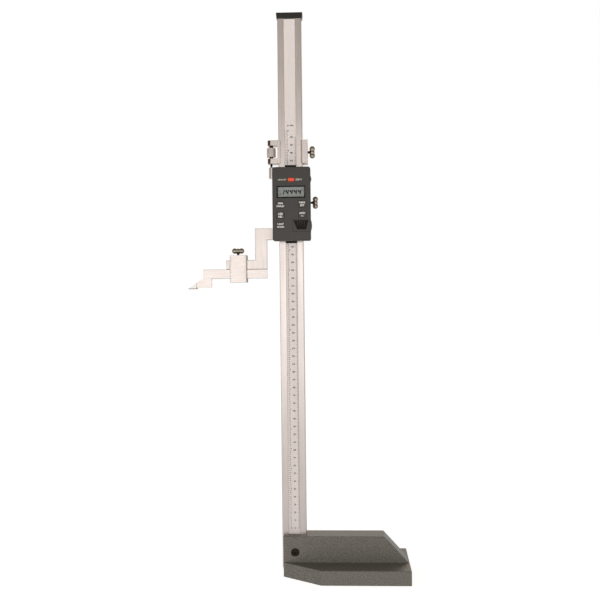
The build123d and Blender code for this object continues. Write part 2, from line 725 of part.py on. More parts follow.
save(slider_frame.part, "slider_frame")
save(gib(SLIDER_Z, SLIDER_TOP), "slider_gib")
save(lock_plug(SLIDER_LOCK_Z), "slider_lock_pad")
save(
    wing_screw(side_tip(SLIDER_LOCK_Z), SLIDER_RIGHT + SLIDER_HEAD_OUT - GIB_RIGHT - SEAT - PAD_LENGTH),
    "slider_lock_screw",
)

with BuildPart() as gib_set_screws:
    with BuildSketch(Plane.YZ.offset(GIB_RIGHT)):
        with Locations([(0, height) for height in GRUB_HEIGHTS]):
            Circle(GRUB_RADIUS)
    extrude(amount=SLIDER_RIGHT_WALL - GRUB_SUNK)
    with BuildSketch(Plane.YZ.offset(GIB_RIGHT + SLIDER_RIGHT_WALL - GRUB_SUNK)):
        with Locations([(0, height) for height in GRUB_HEIGHTS]):
            Rectangle(2 * GRUB_RADIUS, GRUB_SLOT)
    extrude(amount=-GRUB_SLOT_DEPTH, mode=Mode.SUBTRACT)

save(gib_set_screws.part, "gib_set_screws")

with BuildPart() as fine_rod:
    with BuildSketch(level(ROD_BOTTOM)):
        with Locations((ROD_X, 0)):
            Circle(ROD_RADIUS)
    extrude(amount=FINE_TOP - ROD_TOP_MARGIN - ROD_BOTTOM)
    chamfer(fine_rod.faces().sort_by(Axis.Z)[-1].edges(), length=ROD_BEVEL)

save(fine_rod.part, "fine_rod")

with BuildPart() as rod_set_screw:
    with BuildSketch(Plane.YZ.offset(GRUB_END)):
        with Locations((0, GRUB_Z)):
            Circle(GRUB_RADIUS)
    extrude(amount=ROD_X - ROD_RADIUS - SEAT - GRUB_END)
    with BuildSketch(Plane.YZ.offset(GRUB_END)):
        with Locations((0, GRUB_Z)):
            Rectangle(2 * GRUB_RADIUS, GRUB_SLOT)
    extrude(amount=GRUB_SLOT_DEPTH, mode=Mode.SUBTRACT)

save(rod_set_screw.part, "rod_set_screw")

# ================================================================== display housing
LEDGE_WIDTH = HOUSING_WIDTH - 2 * (SIDE_WALL + LEDGE)
LEDGE_HEIGHT = HOUSING_HEIGHT - 2 * LEDGE_END
HOUSING_MIDDLE = (HOUSING_X, HOUSING_Z + HOUSING_HEIGHT / 2)
DISPLAY = (HOUSING_X + DISPLAY_OFFSET, HOUSING_Z + DISPLAY_RISE)
ZERO = (HOUSING_X + ZERO_OFFSET, HOUSING_Z + ZERO_RISE)
KEYS = {name: (HOUSING_X + side, HOUSING_Z + rise) for name, (side, rise) in KEY_PLACES.items()}
LID_LEFT = HOUSING_RIGHT - LID_LENGTH
LID_BOTTOM = HOUSING_Z + LID_RISE
LID_TOP = LID_BOTTOM + LID_HEIGHT
LID_BACK = HOUSING_FRONT + LID_THICKNESS
CELL_X = HOUSING_RIGHT - CELL_INSET
CELL = (CELL_X, (LID_BOTTOM + LID_TOP) / 2)
CELL_FRONT = LID_BACK + SLIP
CELL_BACK = CELL_FRONT + CELL_THICKNESS
POCKET_FLOOR = CELL_BACK + CONTACT
PORT = (HOUSING_FRONT + HOUSING_DEPTH / 2, HOUSING_Z + PORT_RISE)

with BuildPart() as housing:
    with BuildSketch(facing(LIP_FRONT)):
        with Locations(HOUSING_MIDDLE):
            RectangleRounded(HOUSING_WIDTH, HOUSING_HEIGHT, HOUSING_CORNER)
    extrude(amount=HOUSING_DEPTH)
    chamfer(housing.faces().sort_by(Axis.Y)[0].edges(), length=HOUSING_EDGE)

    # opening for the circuit board, and the wider cavity in front of it
    with BuildSketch(facing(LIP_FRONT)):
        with Locations(HOUSING_MIDDLE):
            Rectangle(LEDGE_WIDTH, LEDGE_HEIGHT)
    extrude(amount=BOARD_THICKNESS, mode=Mode.SUBTRACT)
    with BuildSketch(facing(BOARD_FRONT)):
        with Locations(HOUSING_MIDDLE):
            Rectangle(HOUSING_WIDTH - 2 * SIDE_WALL, HOUSING_HEIGHT - 2 * SIDE_WALL)
    extrude(amount=BOARD_FRONT - INNER_FRONT, mode=Mode.SUBTRACT)

    # holder for the battery cell, and bosses for the screws
    with BuildSketch(facing(POCKET_FLOOR + HOLDER_FLOOR)):
        with Locations((HOUSING_RIGHT - SIDE_WALL / 2, CELL[1])):
            Rectangle(
                HOUSING_RIGHT - SIDE_WALL / 2 - LID_LEFT,
                LID_HEIGHT + 2 * (LID_TONGUE + HOLDER_OVER),
                align=(Align.MAX, Align.CENTER),
            )
    extrude(amount=POCKET_FLOOR + HOLDER_FLOOR - INNER_FRONT)
    with BuildSketch(facing(BOARD_FRONT)):
        with Locations(SCREW_PLACES):
            Circle(BOSS_RADIUS)
    extrude(amount=BOARD_FRONT - INNER_FRONT)
    with BuildSketch(facing(BOARD_FRONT)):
        with Locations(SCREW_PLACES):
            Circle(SCREW_RADIUS + BORE_FIT)
    extrude(amount=SCREW_LENGTH - LIP_THICKNESS - BOARD_THICKNESS + SCREW_HOLE_SPARE, mode=Mode.SUBTRACT)

    # display, zero key and function keys
    with BuildSketch(facing(INNER_FRONT)):
        with Locations(DISPLAY):
            Rectangle(BEZEL_WIDTH + 2 * SEAT, BEZEL_HEIGHT + 2 * SEAT)
        with Locations(ZERO):
            Rectangle(ZERO_WIDTH + 2 * KEY_GAP, ZERO_HEIGHT + 2 * KEY_GAP)
        with Locations(list(KEYS.values())):
            RectangleRounded(KEY_WIDTH + 2 * KEY_GAP, KEY_HEIGHT + 2 * KEY_GAP, KEY_CORNER)
    extrude(amount=FRONT_WALL, mode=Mode.SUBTRACT)

    # battery lid's slot and grooves, and the pocket for the cell
    with BuildSketch(facing(LID_BACK + SLIP)):
        with Locations((LID_LEFT - SLIP, CELL[1])):
            Rectangle(HOUSING_WIDTH, LID_HEIGHT + 2 * SLIP, align=(Align.MIN, Align.CENTER))
    extrude(amount=LID_THICKNESS + SLIP, mode=Mode.SUBTRACT)
    with BuildSketch(facing(LID_BACK + SLIP)):
        with Locations((LID_LEFT - SLIP, CELL[1])):
            Rectangle(
                HOUSING_WIDTH, LID_HEIGHT + 2 * (LID_TONGUE + SLIP), align=(Align.MIN, Align.CENTER)
            )
    extrude(amount=LID_TONGUE + 2 * SLIP, mode=Mode.SUBTRACT)
    with BuildSketch(facing(POCKET_FLOOR)):
        with Locations(CELL):
            Circle(CELL_RADIUS + CELL_GAP)
        with Locations((CELL_X - CELL_RADIUS, CELL[1])):
            Rectangle(2 * (CONTACT + CELL_GAP), CONTACT_WIDTH + 2 * SLIP)
    extrude(amount=POCKET_FLOOR - LID_BACK, mode=Mode.SUBTRACT)

    # data port in the right side
    with BuildSketch(Plane.YZ.offset(HOUSING_RIGHT - SIDE_WALL)):
        with Locations(PORT):
            Rectangle(PORT_WIDTH + 2 * SLIP, PORT_HEIGHT + 2 * SLIP)
    extrude(amount=SIDE_WALL, mode=Mode.SUBTRACT)

save(housing.part, "housing")

WINDOW_BACK = HOUSING_FRONT + BEZEL_FRONT + WINDOW_THICKNESS
LCD_BACK = WINDOW_BACK + LCD_THICKNESS
OPENING_WIDTH = BEZEL_WIDTH - 2 * BEZEL_RIM
OPENING_HEIGHT = BEZEL_HEIGHT - 2 * BEZEL_RIM

with BuildPart() as display_bezel:
    with BuildSketch(facing(INNER_FRONT)):
        with Locations(DISPLAY):
            Rectangle(BEZEL_WIDTH, BEZEL_HEIGHT)
    extrude(amount=FRONT_WALL)
    with BuildSketch(facing(INNER_FRONT + BEZEL_FLANGE)):
        with Locations(DISPLAY):
            Rectangle(BEZEL_WIDTH + 2 * BEZEL_FLANGE_OVER, BEZEL_HEIGHT + 2 * BEZEL_FLANGE_OVER)
    extrude(amount=BEZEL_FLANGE)
    with BuildSketch(facing(INNER_FRONT + BEZEL_FLANGE)):
        with Locations(DISPLAY):
            Rectangle(OPENING_WIDTH, OPENING_HEIGHT)
    extrude(amount=FRONT_WALL + BEZEL_FLANGE, mode=Mode.SUBTRACT)
    with BuildSketch(facing(INNER_FRONT + BEZEL_FLANGE)):
        with Locations(DISPLAY):
            Rectangle(OPENING_WIDTH + 2 * (WINDOW_LIP + SEAT), OPENING_HEIGHT + 2 * (WINDOW_LIP + SEAT))
    extrude(amount=FRONT_WALL + BEZEL_FLANGE - BEZEL_FRONT, mode=Mode.SUBTRACT)

save(display_bezel.part, "display_bezel")

with BuildPart() as display_window:
    with BuildSketch(facing(WINDOW_BACK)):
        with Locations(DISPLAY):
            Rectangle(OPENING_WIDTH + 2 * WINDOW_LIP, OPENING_HEIGHT + 2 * WINDOW_LIP)
    extrude(amount=WINDOW_THICKNESS)

save(display_window.part, "display_window")

with BuildPart() as lcd_panel:
    with BuildSketch(facing(LCD_BACK)):
        with Locations(DISPLAY):
            Rectangle(OPENING_WIDTH + 2 * WINDOW_LIP, OPENING_HEIGHT + 2 * WINDOW_LIP)
    extrude(amount=LCD_THICKNESS)

save(lcd_panel.part, "lcd_panel")

with BuildPart() as lcd_connectors:
    with BuildSketch(facing(BOARD_FRONT)):
        with Locations(DISPLAY):
            with GridLocations(0, OPENING_HEIGHT - CONNECTOR_WIDTH, 1, 2):
                Rectangle(CONNECTOR_LENGTH, CONNECTOR_WIDTH)
    extrude(amount=BOARD_FRONT - LCD_BACK)

save(lcd_connectors.part, "lcd_connectors")

with BuildPart() as circuit_board:
    with BuildSketch(facing(LIP_FRONT)):
        with Locations(HOUSING_MIDDLE):
            Rectangle(LEDGE_WIDTH - 2 * BOARD_GAP, LEDGE_HEIGHT - 2 * BOARD_GAP)
        with Locations(SCREW_PLACES):
            Circle(SCREW_RADIUS + 2 * BORE_FIT, mode=Mode.SUBTRACT)
    extrude(amount=BOARD_THICKNESS)

save(circuit_board.part, "circuit_board")

READER_BACK = FILM_FRONT - READER_GAP
READER_FRONT = READER_BACK - READER_THICKNESS
READER_WIDTH = 2 * (HALF_BEAM - LIP_REACH - READER_SIDE_GAP)

with BuildPart() as reader_board:
    with BuildSketch(facing(READER_BACK)):
        with Locations((0, HOUSING_MIDDLE[1])):
            Rectangle(READER_WIDTH, READER_LENGTH)
    extrude(amount=READER_THICKNESS)
    # pin headers that carry it on the circuit board
    with BuildSketch(facing(READER_FRONT)):
        with Locations((0, HOUSING_MIDDLE[1])):
            with GridLocations(0, READER_LENGTH - 2 * HEADER_HEIGHT, 1, 2):
                Rectangle(READER_WIDTH - 2 * HEADER_INSET, HEADER_HEIGHT)
    extrude(amount=READER_FRONT - LIP_FRONT)

save(reader_board.part, "reader_board")

KEY_BACK = INNER_FRONT + SLIP + KEY_FLANGE_DEPTH
MAT_WIDTH = KEYS["key_right_top"][0] - KEYS["key_left_top"][0] + KEY_WIDTH
MAT_BOTTOM = KEYS["key_left_bottom"][1] - KEY_HEIGHT / 2
MAT_TOP = KEYS["key_right_top"][1] + KEY_HEIGHT / 2
MAT_X = (KEYS["key_right_top"][0] + KEYS["key_left_top"][0]) / 2
POST_FRONT = KEY_BACK + KEY_TRAVEL + SLIP

with BuildPart() as key_mat:
    with BuildSketch(facing(BOARD_FRONT)):
        with Locations((MAT_X, MAT_BOTTOM)):
            Rectangle(MAT_WIDTH, MAT_TOP - MAT_BOTTOM, align=(Align.CENTER, Align.MIN))
        with Locations(ZERO):
            Rectangle(2 * ZERO_WIDTH, ZERO_HEIGHT + MAT_OVER)
    extrude(amount=MAT_THICKNESS)
    with BuildSketch(facing(BOARD_FRONT)):
        with Locations([ZERO] + list(KEYS.values())):
            Rectangle(POST_WIDTH, POST_WIDTH)
    extrude(amount=BOARD_FRONT - POST_FRONT)

save(key_mat.part, "key_mat")


def key(place, width, height, front):
    """Key cap with a flange behind the housing's front wall."""
    with BuildPart() as cap:
        with BuildSketch(facing(KEY_BACK)):
            with Locations(place):
                RectangleRounded(width, height, min(KEY_CORNER, height / 4))
        extrude(amount=KEY_BACK - front)
        chamfer(cap.faces().sort_by(Axis.Y)[0].edges(), length=KEY_BEVEL)
        with BuildSketch(facing(KEY_BACK)):
            with Locations(place):
                Rectangle(width + 2 * (KEY_GAP + KEY_FLANGE), height + 2 * KEY_FLANGE)
        extrude(amount=KEY_FLANGE_DEPTH)
    return cap.part


for key_name, key_place in KEYS.items():
    save(key(key_place, KEY_WIDTH, KEY_HEIGHT, HOUSING_FRONT), key_name)
save(key(ZERO, ZERO_WIDTH, ZERO_HEIGHT, HOUSING_FRONT - ZERO_PROUD), "zero_key")

with BuildPart() as battery_cell:
    with BuildSketch(facing(CELL_BACK)):
        with Locations(CELL):
            Circle(CELL_RADIUS)
    extrude(amount=CELL_THICKNESS)
    chamfer(battery_cell.edges().filter_by(GeomType.CIRCLE), length=CELL_BEVEL)

save(battery_cell.part, "battery_cell")

with BuildPart() as battery_contacts:
    with BuildSketch(facing(POCKET_FLOOR)):
        with Locations(CELL):
            Rectangle(CELL_RADIUS, CONTACT_WIDTH)
    extrude(amount=CONTACT)
    with BuildSketch(facing(CELL_BACK)):
        with Locations((CELL_X - CELL_RADIUS - SEAT, CELL[1])):
            Rectangle(CONTACT, CONTACT_WIDTH, align=(Align.MAX, Align.CENTER))
    extrude(amount=CELL_THICKNESS - CONTACT_SHORT)

save(battery_contacts.part, "battery_contacts")

GRIP_LEFT = LID_LEFT + GRIP_START
GRIP_RIGHT = HOUSING_RIGHT - GRIP_END

with BuildPart() as battery_cover:
    with BuildSketch(facing(LID_BACK)):
        with Locations((LID_LEFT, CELL[1])):
            Rectangle(HOUSING_RIGHT - LID_LEFT + SLIP, LID_HEIGHT, align=(Align.MIN, Align.CENTER))
    extrude(amount=LID_THICKNESS)
    with BuildSketch(facing(LID_BACK)):
        with Locations((LID_LEFT, CELL[1])):
            Rectangle(
                HOUSING_RIGHT - LID_LEFT - SLIP,
                LID_HEIGHT + 2 * LID_TONGUE,
                align=(Align.MIN, Align.CENTER),
            )
    extrude(amount=LID_TONGUE)
    # bulging end that the thumb pushes
    with BuildSketch(facing(HOUSING_FRONT + LID_TAIL * HOUSING_DEPTH)):
        with BuildLine():
            end_x = HOUSING_RIGHT + SLIP
            Line((end_x, LID_TOP - SLIP), (end_x, LID_BOTTOM + SLIP))
            ThreePointArc(
                (end_x, LID_BOTTOM + SLIP), (HOUSING_RIGHT + LID_BULGE, CELL[1]), (end_x, LID_TOP - SLIP)
            )
        make_face()
    extrude(amount=LID_TAIL * HOUSING_DEPTH - LID_TAIL_GAP)
    # grip: a sunk trapezoid with upright ribs
    with BuildSketch(facing(HOUSING_FRONT)):
        with BuildLine():
            Polyline(
                (GRIP_LEFT, LID_TOP - GRIP_TOP),
                (GRIP_RIGHT, LID_TOP - GRIP_TOP),
                (GRIP_RIGHT - GRIP_SLANT_RIGHT, LID_BOTTOM + GRIP_BOTTOM),
                (GRIP_LEFT + GRIP_SLANT_LEFT, LID_BOTTOM + GRIP_BOTTOM),
                close=True,
            )
        make_face()
    extrude(amount=-GRIP_DEPTH, mode=Mode.SUBTRACT)
    with BuildSketch(facing(HOUSING_FRONT + GRIP_DEPTH)):
        with Locations(((GRIP_LEFT + GRIP_RIGHT) / 2, LID_BOTTOM + GRIP_BOTTOM)):
            with GridLocations(GRIP_PITCH, 0, GRIP_RIBS, 1):
                Rectangle(GRIP_RIB, LID_HEIGHT - 2 * GRIP_BOTTOM, align=(Align.CENTER, Align.MIN))
    extrude(amount=GRIP_DEPTH - GRIP_RIB_SUNK)

save(battery_cover.part, "battery_cover")

with BuildPart() as port_cover:
    with BuildSketch(Plane.YZ.offset(HOUSING_RIGHT - SIDE_WALL)):
        with Locations(PORT):
            Rectangle(PORT_WIDTH, PORT_HEIGHT)
    extrude(amount=SIDE_WALL)
    with BuildSketch(facing(PORT[0] + PORT_WIDTH / 2)):
        with BuildLine():
            low = (HOUSING_RIGHT, PORT[1] - PORT_HEIGHT / 2 - PORT_FLANGE)
            high = (HOUSING_RIGHT, PORT[1] + PORT_HEIGHT / 2 + PORT_FLANGE)
            Line(high, low)
            ThreePointArc(low, (HOUSING_RIGHT + PORT_BULGE, PORT[1]), high)
        make_face()
    extrude(amount=PORT_WIDTH)

save(port_cover.part, "port_cover")


def wiper(root, tip):
    """Scale wiper, wider where it is held; it stands on the housing's rear rim."""
    with BuildPart() as strip:
        with BuildSketch(facing(LIP_BACK)):
            with BuildLine():
                Polyline(
                    (-WIPER_ROOT / 2, root),
                    (WIPER_ROOT / 2, root),
                    (WIPER_TIP / 2, tip),
                    (-WIPER_TIP / 2, tip),
                    close=True,
                )
            make_face()
        extrude(amount=LIP_THICKNESS)
    return strip.part


save(wiper(HOUSING_TOP - LEDGE_END, HOUSING_TOP + WIPER_OUT_TOP), "wiper_top")
save(wiper(HOUSING_Z + LEDGE_END, HOUSING_Z - WIPER_OUT_BOTTOM), "wiper_bottom")

with BuildPart() as housing_screws:
    with BuildSketch(facing(LIP_BACK)):
        with Locations(SCREW_PLACES):
            Circle(SCREW_RADIUS)
    extrude(amount=SCREW_LENGTH)
    for x, z in SCREW_PLACES:
        with BuildSketch(facing(LIP_BACK)):
            with Locations((x, z)):
                Circle(SCREW_HEAD)
        extrude(amount=SCREW_HEAD - SCREW_RADIUS, taper=45)
    with BuildSketch(facing(LIP_BACK)):
        with Locations(SCREW_PLACES):
            Rectangle(SCREW_DRIVE, SCREW_DRIVE_WIDTH)
            Rectangle(SCREW_DRIVE_WIDTH, SCREW_DRIVE)
    extrude(amount=SCREW_DRIVE_DEPTH, mode=Mode.SUBTRACT)

save(housing_screws.part, "housing_screws")

# ================================================================== scriber and its clamp
SHANK_RIGHT = -(HALF_BEAM + SCRIBER_OUT)
SHANK_LEFT = SHANK_RIGHT - SCRIBER_LENGTH
TIP_X = SHANK_LEFT - TIP_REACH
HEEL_RIGHT = SHANK_LEFT + HEEL_STEP
JOINT_X = TIP_X + TIP_LENGTH
SLOPE_TOP_X = SHANK_LEFT - SLOPE_START
JOINT_RISE = (JOINT_X - TIP_X) / (SLOPE_TOP_X - TIP_X) * SCRIBER_DROP

with BuildPart() as scriber:
    with BuildSketch(facing(JAW_THICKNESS / 2)):
        with BuildLine():
            Polyline(
                (SHANK_RIGHT, SHANK_BOTTOM),
                (SHANK_RIGHT, SHANK_TOP),
                (SHANK_LEFT, SHANK_TOP),
                (SHANK_LEFT, SHANK_BOTTOM),
                (SLOPE_TOP_X, SHANK_BOTTOM),
                (JOINT_X, FACE_Z + JOINT_RISE),
                (JOINT_X, FACE_Z + HEEL_LIFT),
                (HEEL_RIGHT, FACE_Z + HEEL_LIFT),
                (HEEL_RIGHT, SHANK_BOTTOM),
                close=True,
            )
        make_face()
    extrude(amount=JAW_THICKNESS)
    long_edges = scriber.edges().filter_by(Axis.X).filter_by(lambda e: e.length > SCRIBER_LENGTH / 2)
    chamfer(long_edges, length=JAW_EDGE)

save(scriber.part, "scriber")

with BuildPart() as scriber_tip:
    with BuildSketch(facing(JAW_THICKNESS / 2)):
        with BuildLine():
            Polyline(
                (JOINT_X, FACE_Z + JOINT_RISE),
                (TIP_X, FACE_Z + TIP_EDGE),
                (TIP_X, FACE_Z),
                (JOINT_X, FACE_Z),
                close=True,
            )
        make_face()
    extrude(amount=JAW_THICKNESS)
    # the scribing edge narrows towards the front on the back side
    with BuildSketch(level(FACE_Z)):
        with BuildLine():
            Polyline(
                (JOINT_X, JAW_THICKNESS / 2),
                (TIP_X - 1, JAW_THICKNESS / 2),
                (TIP_X - 1, -JAW_THICKNESS / 2 + TIP_EDGE),
                close=True,
            )
        make_face()
    extrude(amount=SCRIBER_DROP, mode=Mode.SUBTRACT)

save(scriber_tip.part, "scriber_tip")

PAD_BOTTOM = BAR_TOP + SEAT
PAD_TOP = PAD_BOTTOM + PAD_PLATE
CLAMP_BOX_X = -(HALF_BEAM + CLAMP_BOX_OUT)
CLAMP_AXIS_X = CLAMP_BOX_X - CLAMP_SCREW_OFFSET
CLAMP_BOX_DEPTH = JAW_THICKNESS + 2 * (RUNNING + CLAMP_BOX_WALL)
WINDOW_TOP = PAD_TOP + PAD_LIFT
WINDOW_BOTTOM = SHANK_BOTTOM - SLIP
CLAMP_BOTTOM = WINDOW_BOTTOM - CLAMP_BOX_FLOOR
CLAMP_TOP = WINDOW_TOP + CLAMP_BOX_ROOF

with BuildPart() as scriber_clamp:
    with BuildSketch(level(CLAMP_BOTTOM)):
        half_width = CLAMP_BOX_WIDTH / 2
        half_depth = CLAMP_BOX_DEPTH / 2
        with Locations((CLAMP_BOX_X, 0)):
            Polygon(
                (-half_width, half_depth),
                (-half_width, -half_depth + CLAMP_BEVEL_Y),
                (-half_width + CLAMP_BEVEL_X, -half_depth),
                (half_width - CLAMP_BEVEL_X, -half_depth),
                (half_width, -half_depth + CLAMP_BEVEL_Y),
                (half_width, half_depth),
                align=None,
            )
    extrude(amount=CLAMP_TOP - CLAMP_BOTTOM)
    with BuildSketch(Plane.YZ.offset(CLAMP_BOX_X)):
        with Locations((0, WINDOW_BOTTOM)):
            Rectangle(
                JAW_THICKNESS + 2 * RUNNING, WINDOW_TOP - WINDOW_BOTTOM, align=(Align.CENTER, Align.MIN)
            )
    extrude(amount=CLAMP_BOX_WIDTH, both=True, mode=Mode.SUBTRACT)
    with BuildSketch(level(WINDOW_TOP)):
        with Locations((CLAMP_AXIS_X, 0)):
            Circle(LOCK_RADIUS + BORE_FIT)
    extrude(amount=CLAMP_BOX_ROOF, mode=Mode.SUBTRACT)

save(scriber_clamp.part, "scriber_clamp")

with BuildPart() as clamp_pad:
    with BuildSketch(level(PAD_BOTTOM)):
        with Locations((CLAMP_AXIS_X, 0)):
            RectangleRounded(PAD_PLATE_LENGTH, JAW_THICKNESS, 1)
    extrude(amount=PAD_PLATE)

save(clamp_pad.part, "clamp_pad")
save(
    wing_screw(
        Plane(origin=(CLAMP_AXIS_X, 0, PAD_TOP), x_dir=(1, 0, 0), z_dir=(0, 0, 1)),
        CLAMP_TOP - PAD_TOP + CLAMP_HEAD_RISE,
    ),
    "clamp_screw",
)
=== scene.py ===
"""Finish, graduations and small hardware of a digital height gauge, round its machined parts."""

import json
import math

import bmesh
import bpy
from bpy.props import (
    FloatProperty,
    FloatVectorProperty,
    IntProperty,
    PointerProperty,
    StringProperty,
)
from bpy.types import Operator, Panel, PropertyGroup
from mathutils import Matrix, Vector

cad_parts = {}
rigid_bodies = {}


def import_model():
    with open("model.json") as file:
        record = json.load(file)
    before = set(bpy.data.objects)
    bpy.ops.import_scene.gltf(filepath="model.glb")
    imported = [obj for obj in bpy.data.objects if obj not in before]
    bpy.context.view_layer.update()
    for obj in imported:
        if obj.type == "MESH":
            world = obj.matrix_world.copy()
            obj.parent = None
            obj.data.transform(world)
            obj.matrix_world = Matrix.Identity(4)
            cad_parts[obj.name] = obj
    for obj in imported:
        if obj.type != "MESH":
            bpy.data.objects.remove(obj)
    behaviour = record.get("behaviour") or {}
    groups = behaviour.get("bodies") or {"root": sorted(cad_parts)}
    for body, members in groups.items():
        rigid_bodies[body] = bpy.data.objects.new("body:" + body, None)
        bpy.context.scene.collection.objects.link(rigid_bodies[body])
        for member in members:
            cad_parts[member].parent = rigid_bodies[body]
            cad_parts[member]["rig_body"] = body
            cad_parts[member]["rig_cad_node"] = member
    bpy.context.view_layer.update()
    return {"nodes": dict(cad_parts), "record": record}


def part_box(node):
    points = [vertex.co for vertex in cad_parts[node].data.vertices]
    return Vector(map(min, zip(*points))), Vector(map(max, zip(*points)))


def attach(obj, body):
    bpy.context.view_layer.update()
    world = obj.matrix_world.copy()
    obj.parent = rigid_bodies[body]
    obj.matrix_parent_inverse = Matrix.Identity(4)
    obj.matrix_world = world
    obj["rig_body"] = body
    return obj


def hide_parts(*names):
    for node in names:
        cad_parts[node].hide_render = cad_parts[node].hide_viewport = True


bl_info = {
    "name": "Digital Height Gauge",
    "version": (1, 0, 0),
    "blender": (4, 5, 0),
    "location": "View3D > Sidebar > Height Gauge",
    "description": "Graduations, legends, screws, finishes and studio for a digital height gauge",
    "category": "Object",
}

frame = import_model()
NODES = frame["nodes"]

MM = 0.001
INCH = 25.4 * MM
SENSOR = 36.0              # mm

BODY_OF_NODE = {
    node: body for body, nodes in frame["record"]["behaviour"]["bodies"].items() for node in nodes
}
SLOT_OF_NODE = {row["node"]: row["material_slot"] for row in frame["record"]["subparts"]}


# ---- settings a user would change
def length_setting(name, description, default):
    """Length property; its default is in millimetres."""
    return FloatProperty(name=name, description=description, default=default * MM, unit="LENGTH")


def number_setting(name, description, default):
    return FloatProperty(name=name, description=description, default=default)


def colour_setting(name, description, default):
    """Colour property that is written and shown as display values from 0 to 1."""
    return FloatVectorProperty(
        name=name, description=description, default=default,
        subtype="COLOR_GAMMA", size=3, min=0, max=1,
    )


class GaugeScale(PropertyGroup):
    zero: length_setting("Zero height", "Height of both zero lines", 59.6)
    range_mm: IntProperty(name="Millimetres", description="Length of the metric scale", default=500)
    range_in: IntProperty(name="Inches", description="Length of the inch scale", default=20)
    line: length_setting("Line width", "Width of a graduation", 0.26)
    ink: length_setting("Ink height", "How far the ink stands on the film", 0.012)
    metric_digit: length_setting("Metric digit", "Height of the metric numerals", 2.3)
    inch_digit: length_setting("Inch digit", "Height of the inch numerals", 2.2)
    tenth_digit: length_setting("Tenth digit", "Height of the tenth-inch numerals", 1.7)


class GaugeHardware(PropertyGroup):
    nut_teeth: IntProperty(name="Nut teeth", description="Teeth of the straight knurl", default=36)
    nut_depth: length_setting("Knurl depth", "Depth of the nut's knurl", 0.15)
    rod_pitch: length_setting("Rod pitch", "Pitch of the fine-feed thread", 0.5)
    lock_pitch: length_setting("Lock pitch", "Pitch of the lock screws' thread", 0.7)


class GaugeDisplay(PropertyGroup):
    reading: StringProperty(name="Reading", description="Number on the display", default="14.444")
    digit_height: length_setting("Digit height", "Height of a display digit", 7.3)
    digit_pitch: length_setting("Digit pitch", "Distance between display digits", 5.25)
    legend: length_setting("Legend height", "Height of the capitals on the keys", 2.5)


class GaugeFinish(PropertyGroup):
    steel: colour_setting("Steel", "Ground and satin steel", (0.915, 0.872, 0.848))
    film: colour_setting("Scale film", "Satin film under the graduations", (0.845, 0.805, 0.79))
    ink: colour_setting("Ink", "Graduations and numerals", (0.09, 0.085, 0.085))
    paint: colour_setting("Base paint", "Hammered enamel", (0.385, 0.38, 0.36))
    plastic: colour_setting("Housing", "Moulded housing", (0.12, 0.115, 0.105))
    black: colour_setting("Black plastic", "Cap and wipers", (0.16, 0.155, 0.14))
    red: colour_setting("Zero key", "Red key", (0.86, 0.26, 0.13))
    glass: colour_setting("Display", "Liquid crystal panel", (0.555, 0.575, 0.56))
    legend: colour_setting("Legends", "Printed words", (0.90, 0.89, 0.87))
    nickel: colour_setting("Nickel", "Plated screws", (0.70, 0.66, 0.60))


class GaugeStudio(PropertyGroup):
    lens: number_setting("Lens", "Focal length on a 36 mm sensor", 53.27)
    place: FloatVectorProperty(
        name="Camera", description="Camera's place", default=(0.0652, -1.1392, 0.3588),
        unit="LENGTH", size=3,
    )
    turn: FloatVectorProperty(
        name="Turn", description="Camera's turn to the left, tilt down and roll",
        default=(0.0485, 0.0064, -0.0105), unit="ROTATION", size=3,
    )
    front_light: number_setting("Front light", "Soft light from the front", 2.35)
    back_light: number_setting("Back light", "Soft light from behind", 1.2)
    overhead: colour_setting("Overhead", "Tint of the soft light from above", (1.0, 0.955, 0.895))
    horizon: number_setting("Horizon", "Smaller keeps the soft light nearer the horizon", 0.42)
    lean: number_setting("Lean", "Turns the bright room behind the camera to the left", 0.4)
    softbox: FloatVectorProperty(
        name="Softbox", description="Width and height of the softbox", default=(5.4, 0.8), size=2
    )
    softbox_level: number_setting("Softbox level", "Watts for each square metre of softbox", 3.44)
    behind: number_setting("Behind the camera", "How bright metal sees the room there", 0.42)
    left_side: number_setting("Left side", "How bright metal sees the room's left side", 0.12)
    right_side: number_setting("Right side", "How bright metal sees the room's right side", 0.26)
    table: number_setting("Table", "How bright metal sees the table", 0.58)
    floor_light: number_setting("Floor light", "Light that the white floor gives", 0.6)
    floor_white: number_setting("Floor white", "Makes the floor white where it is seen", 0.2)


SETTINGS = {
    "gauge_scale": GaugeScale,
    "gauge_hardware": GaugeHardware,
    "gauge_display": GaugeDisplay,
    "gauge_finish": GaugeFinish,
    "gauge_studio": GaugeStudio,
}


# ---- small helpers
def clear_selection():
    """Nothing is selected and no object is in edit mode."""
    if bpy.context.object and bpy.context.object.mode != "OBJECT":
        bpy.ops.object.mode_set(mode="OBJECT")
    bpy.ops.object.select_all(action="DESELECT")


def activate(piece):
    """Only this object is selected, and it is active."""
    clear_selection()
    piece.select_set(True)
    bpy.context.view_layer.objects.active = piece


def settle(piece):
    """Move the object's place into its mesh."""
    activate(piece)
    bpy.ops.object.transform_apply(location=True, rotation=True, scale=True)


def adopt(piece, name, body, finish, replaces=()):
    """Name a finished piece, give it its finish and fix it to the body that carries it."""
    piece.name = name
    piece.data.name = name
    piece.data.materials.clear()
    piece.data.materials.append(FINISHES[finish])
    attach(piece, body)
    if replaces:
        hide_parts(*replaces)


def edit(piece):
    """Open the object in edit mode with its whole mesh selected."""
    activate(piece)
    bpy.ops.object.mode_set(mode="EDIT")
    bpy.ops.mesh.select_all(action="SELECT")


def leave_edit():
    bpy.ops.mesh.select_all(action="DESELECT")
    bpy.ops.object.mode_set(mode="OBJECT")


def smooth(piece, degrees):
    """Shade smooth where faces meet more gently than this."""
    activate(piece)
    bpy.ops.object.shade_smooth_by_angle(angle=math.radians(degrees))


def middle(node):
    """Centre of a node's box."""
    low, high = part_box(node)
    return (low + high) / 2


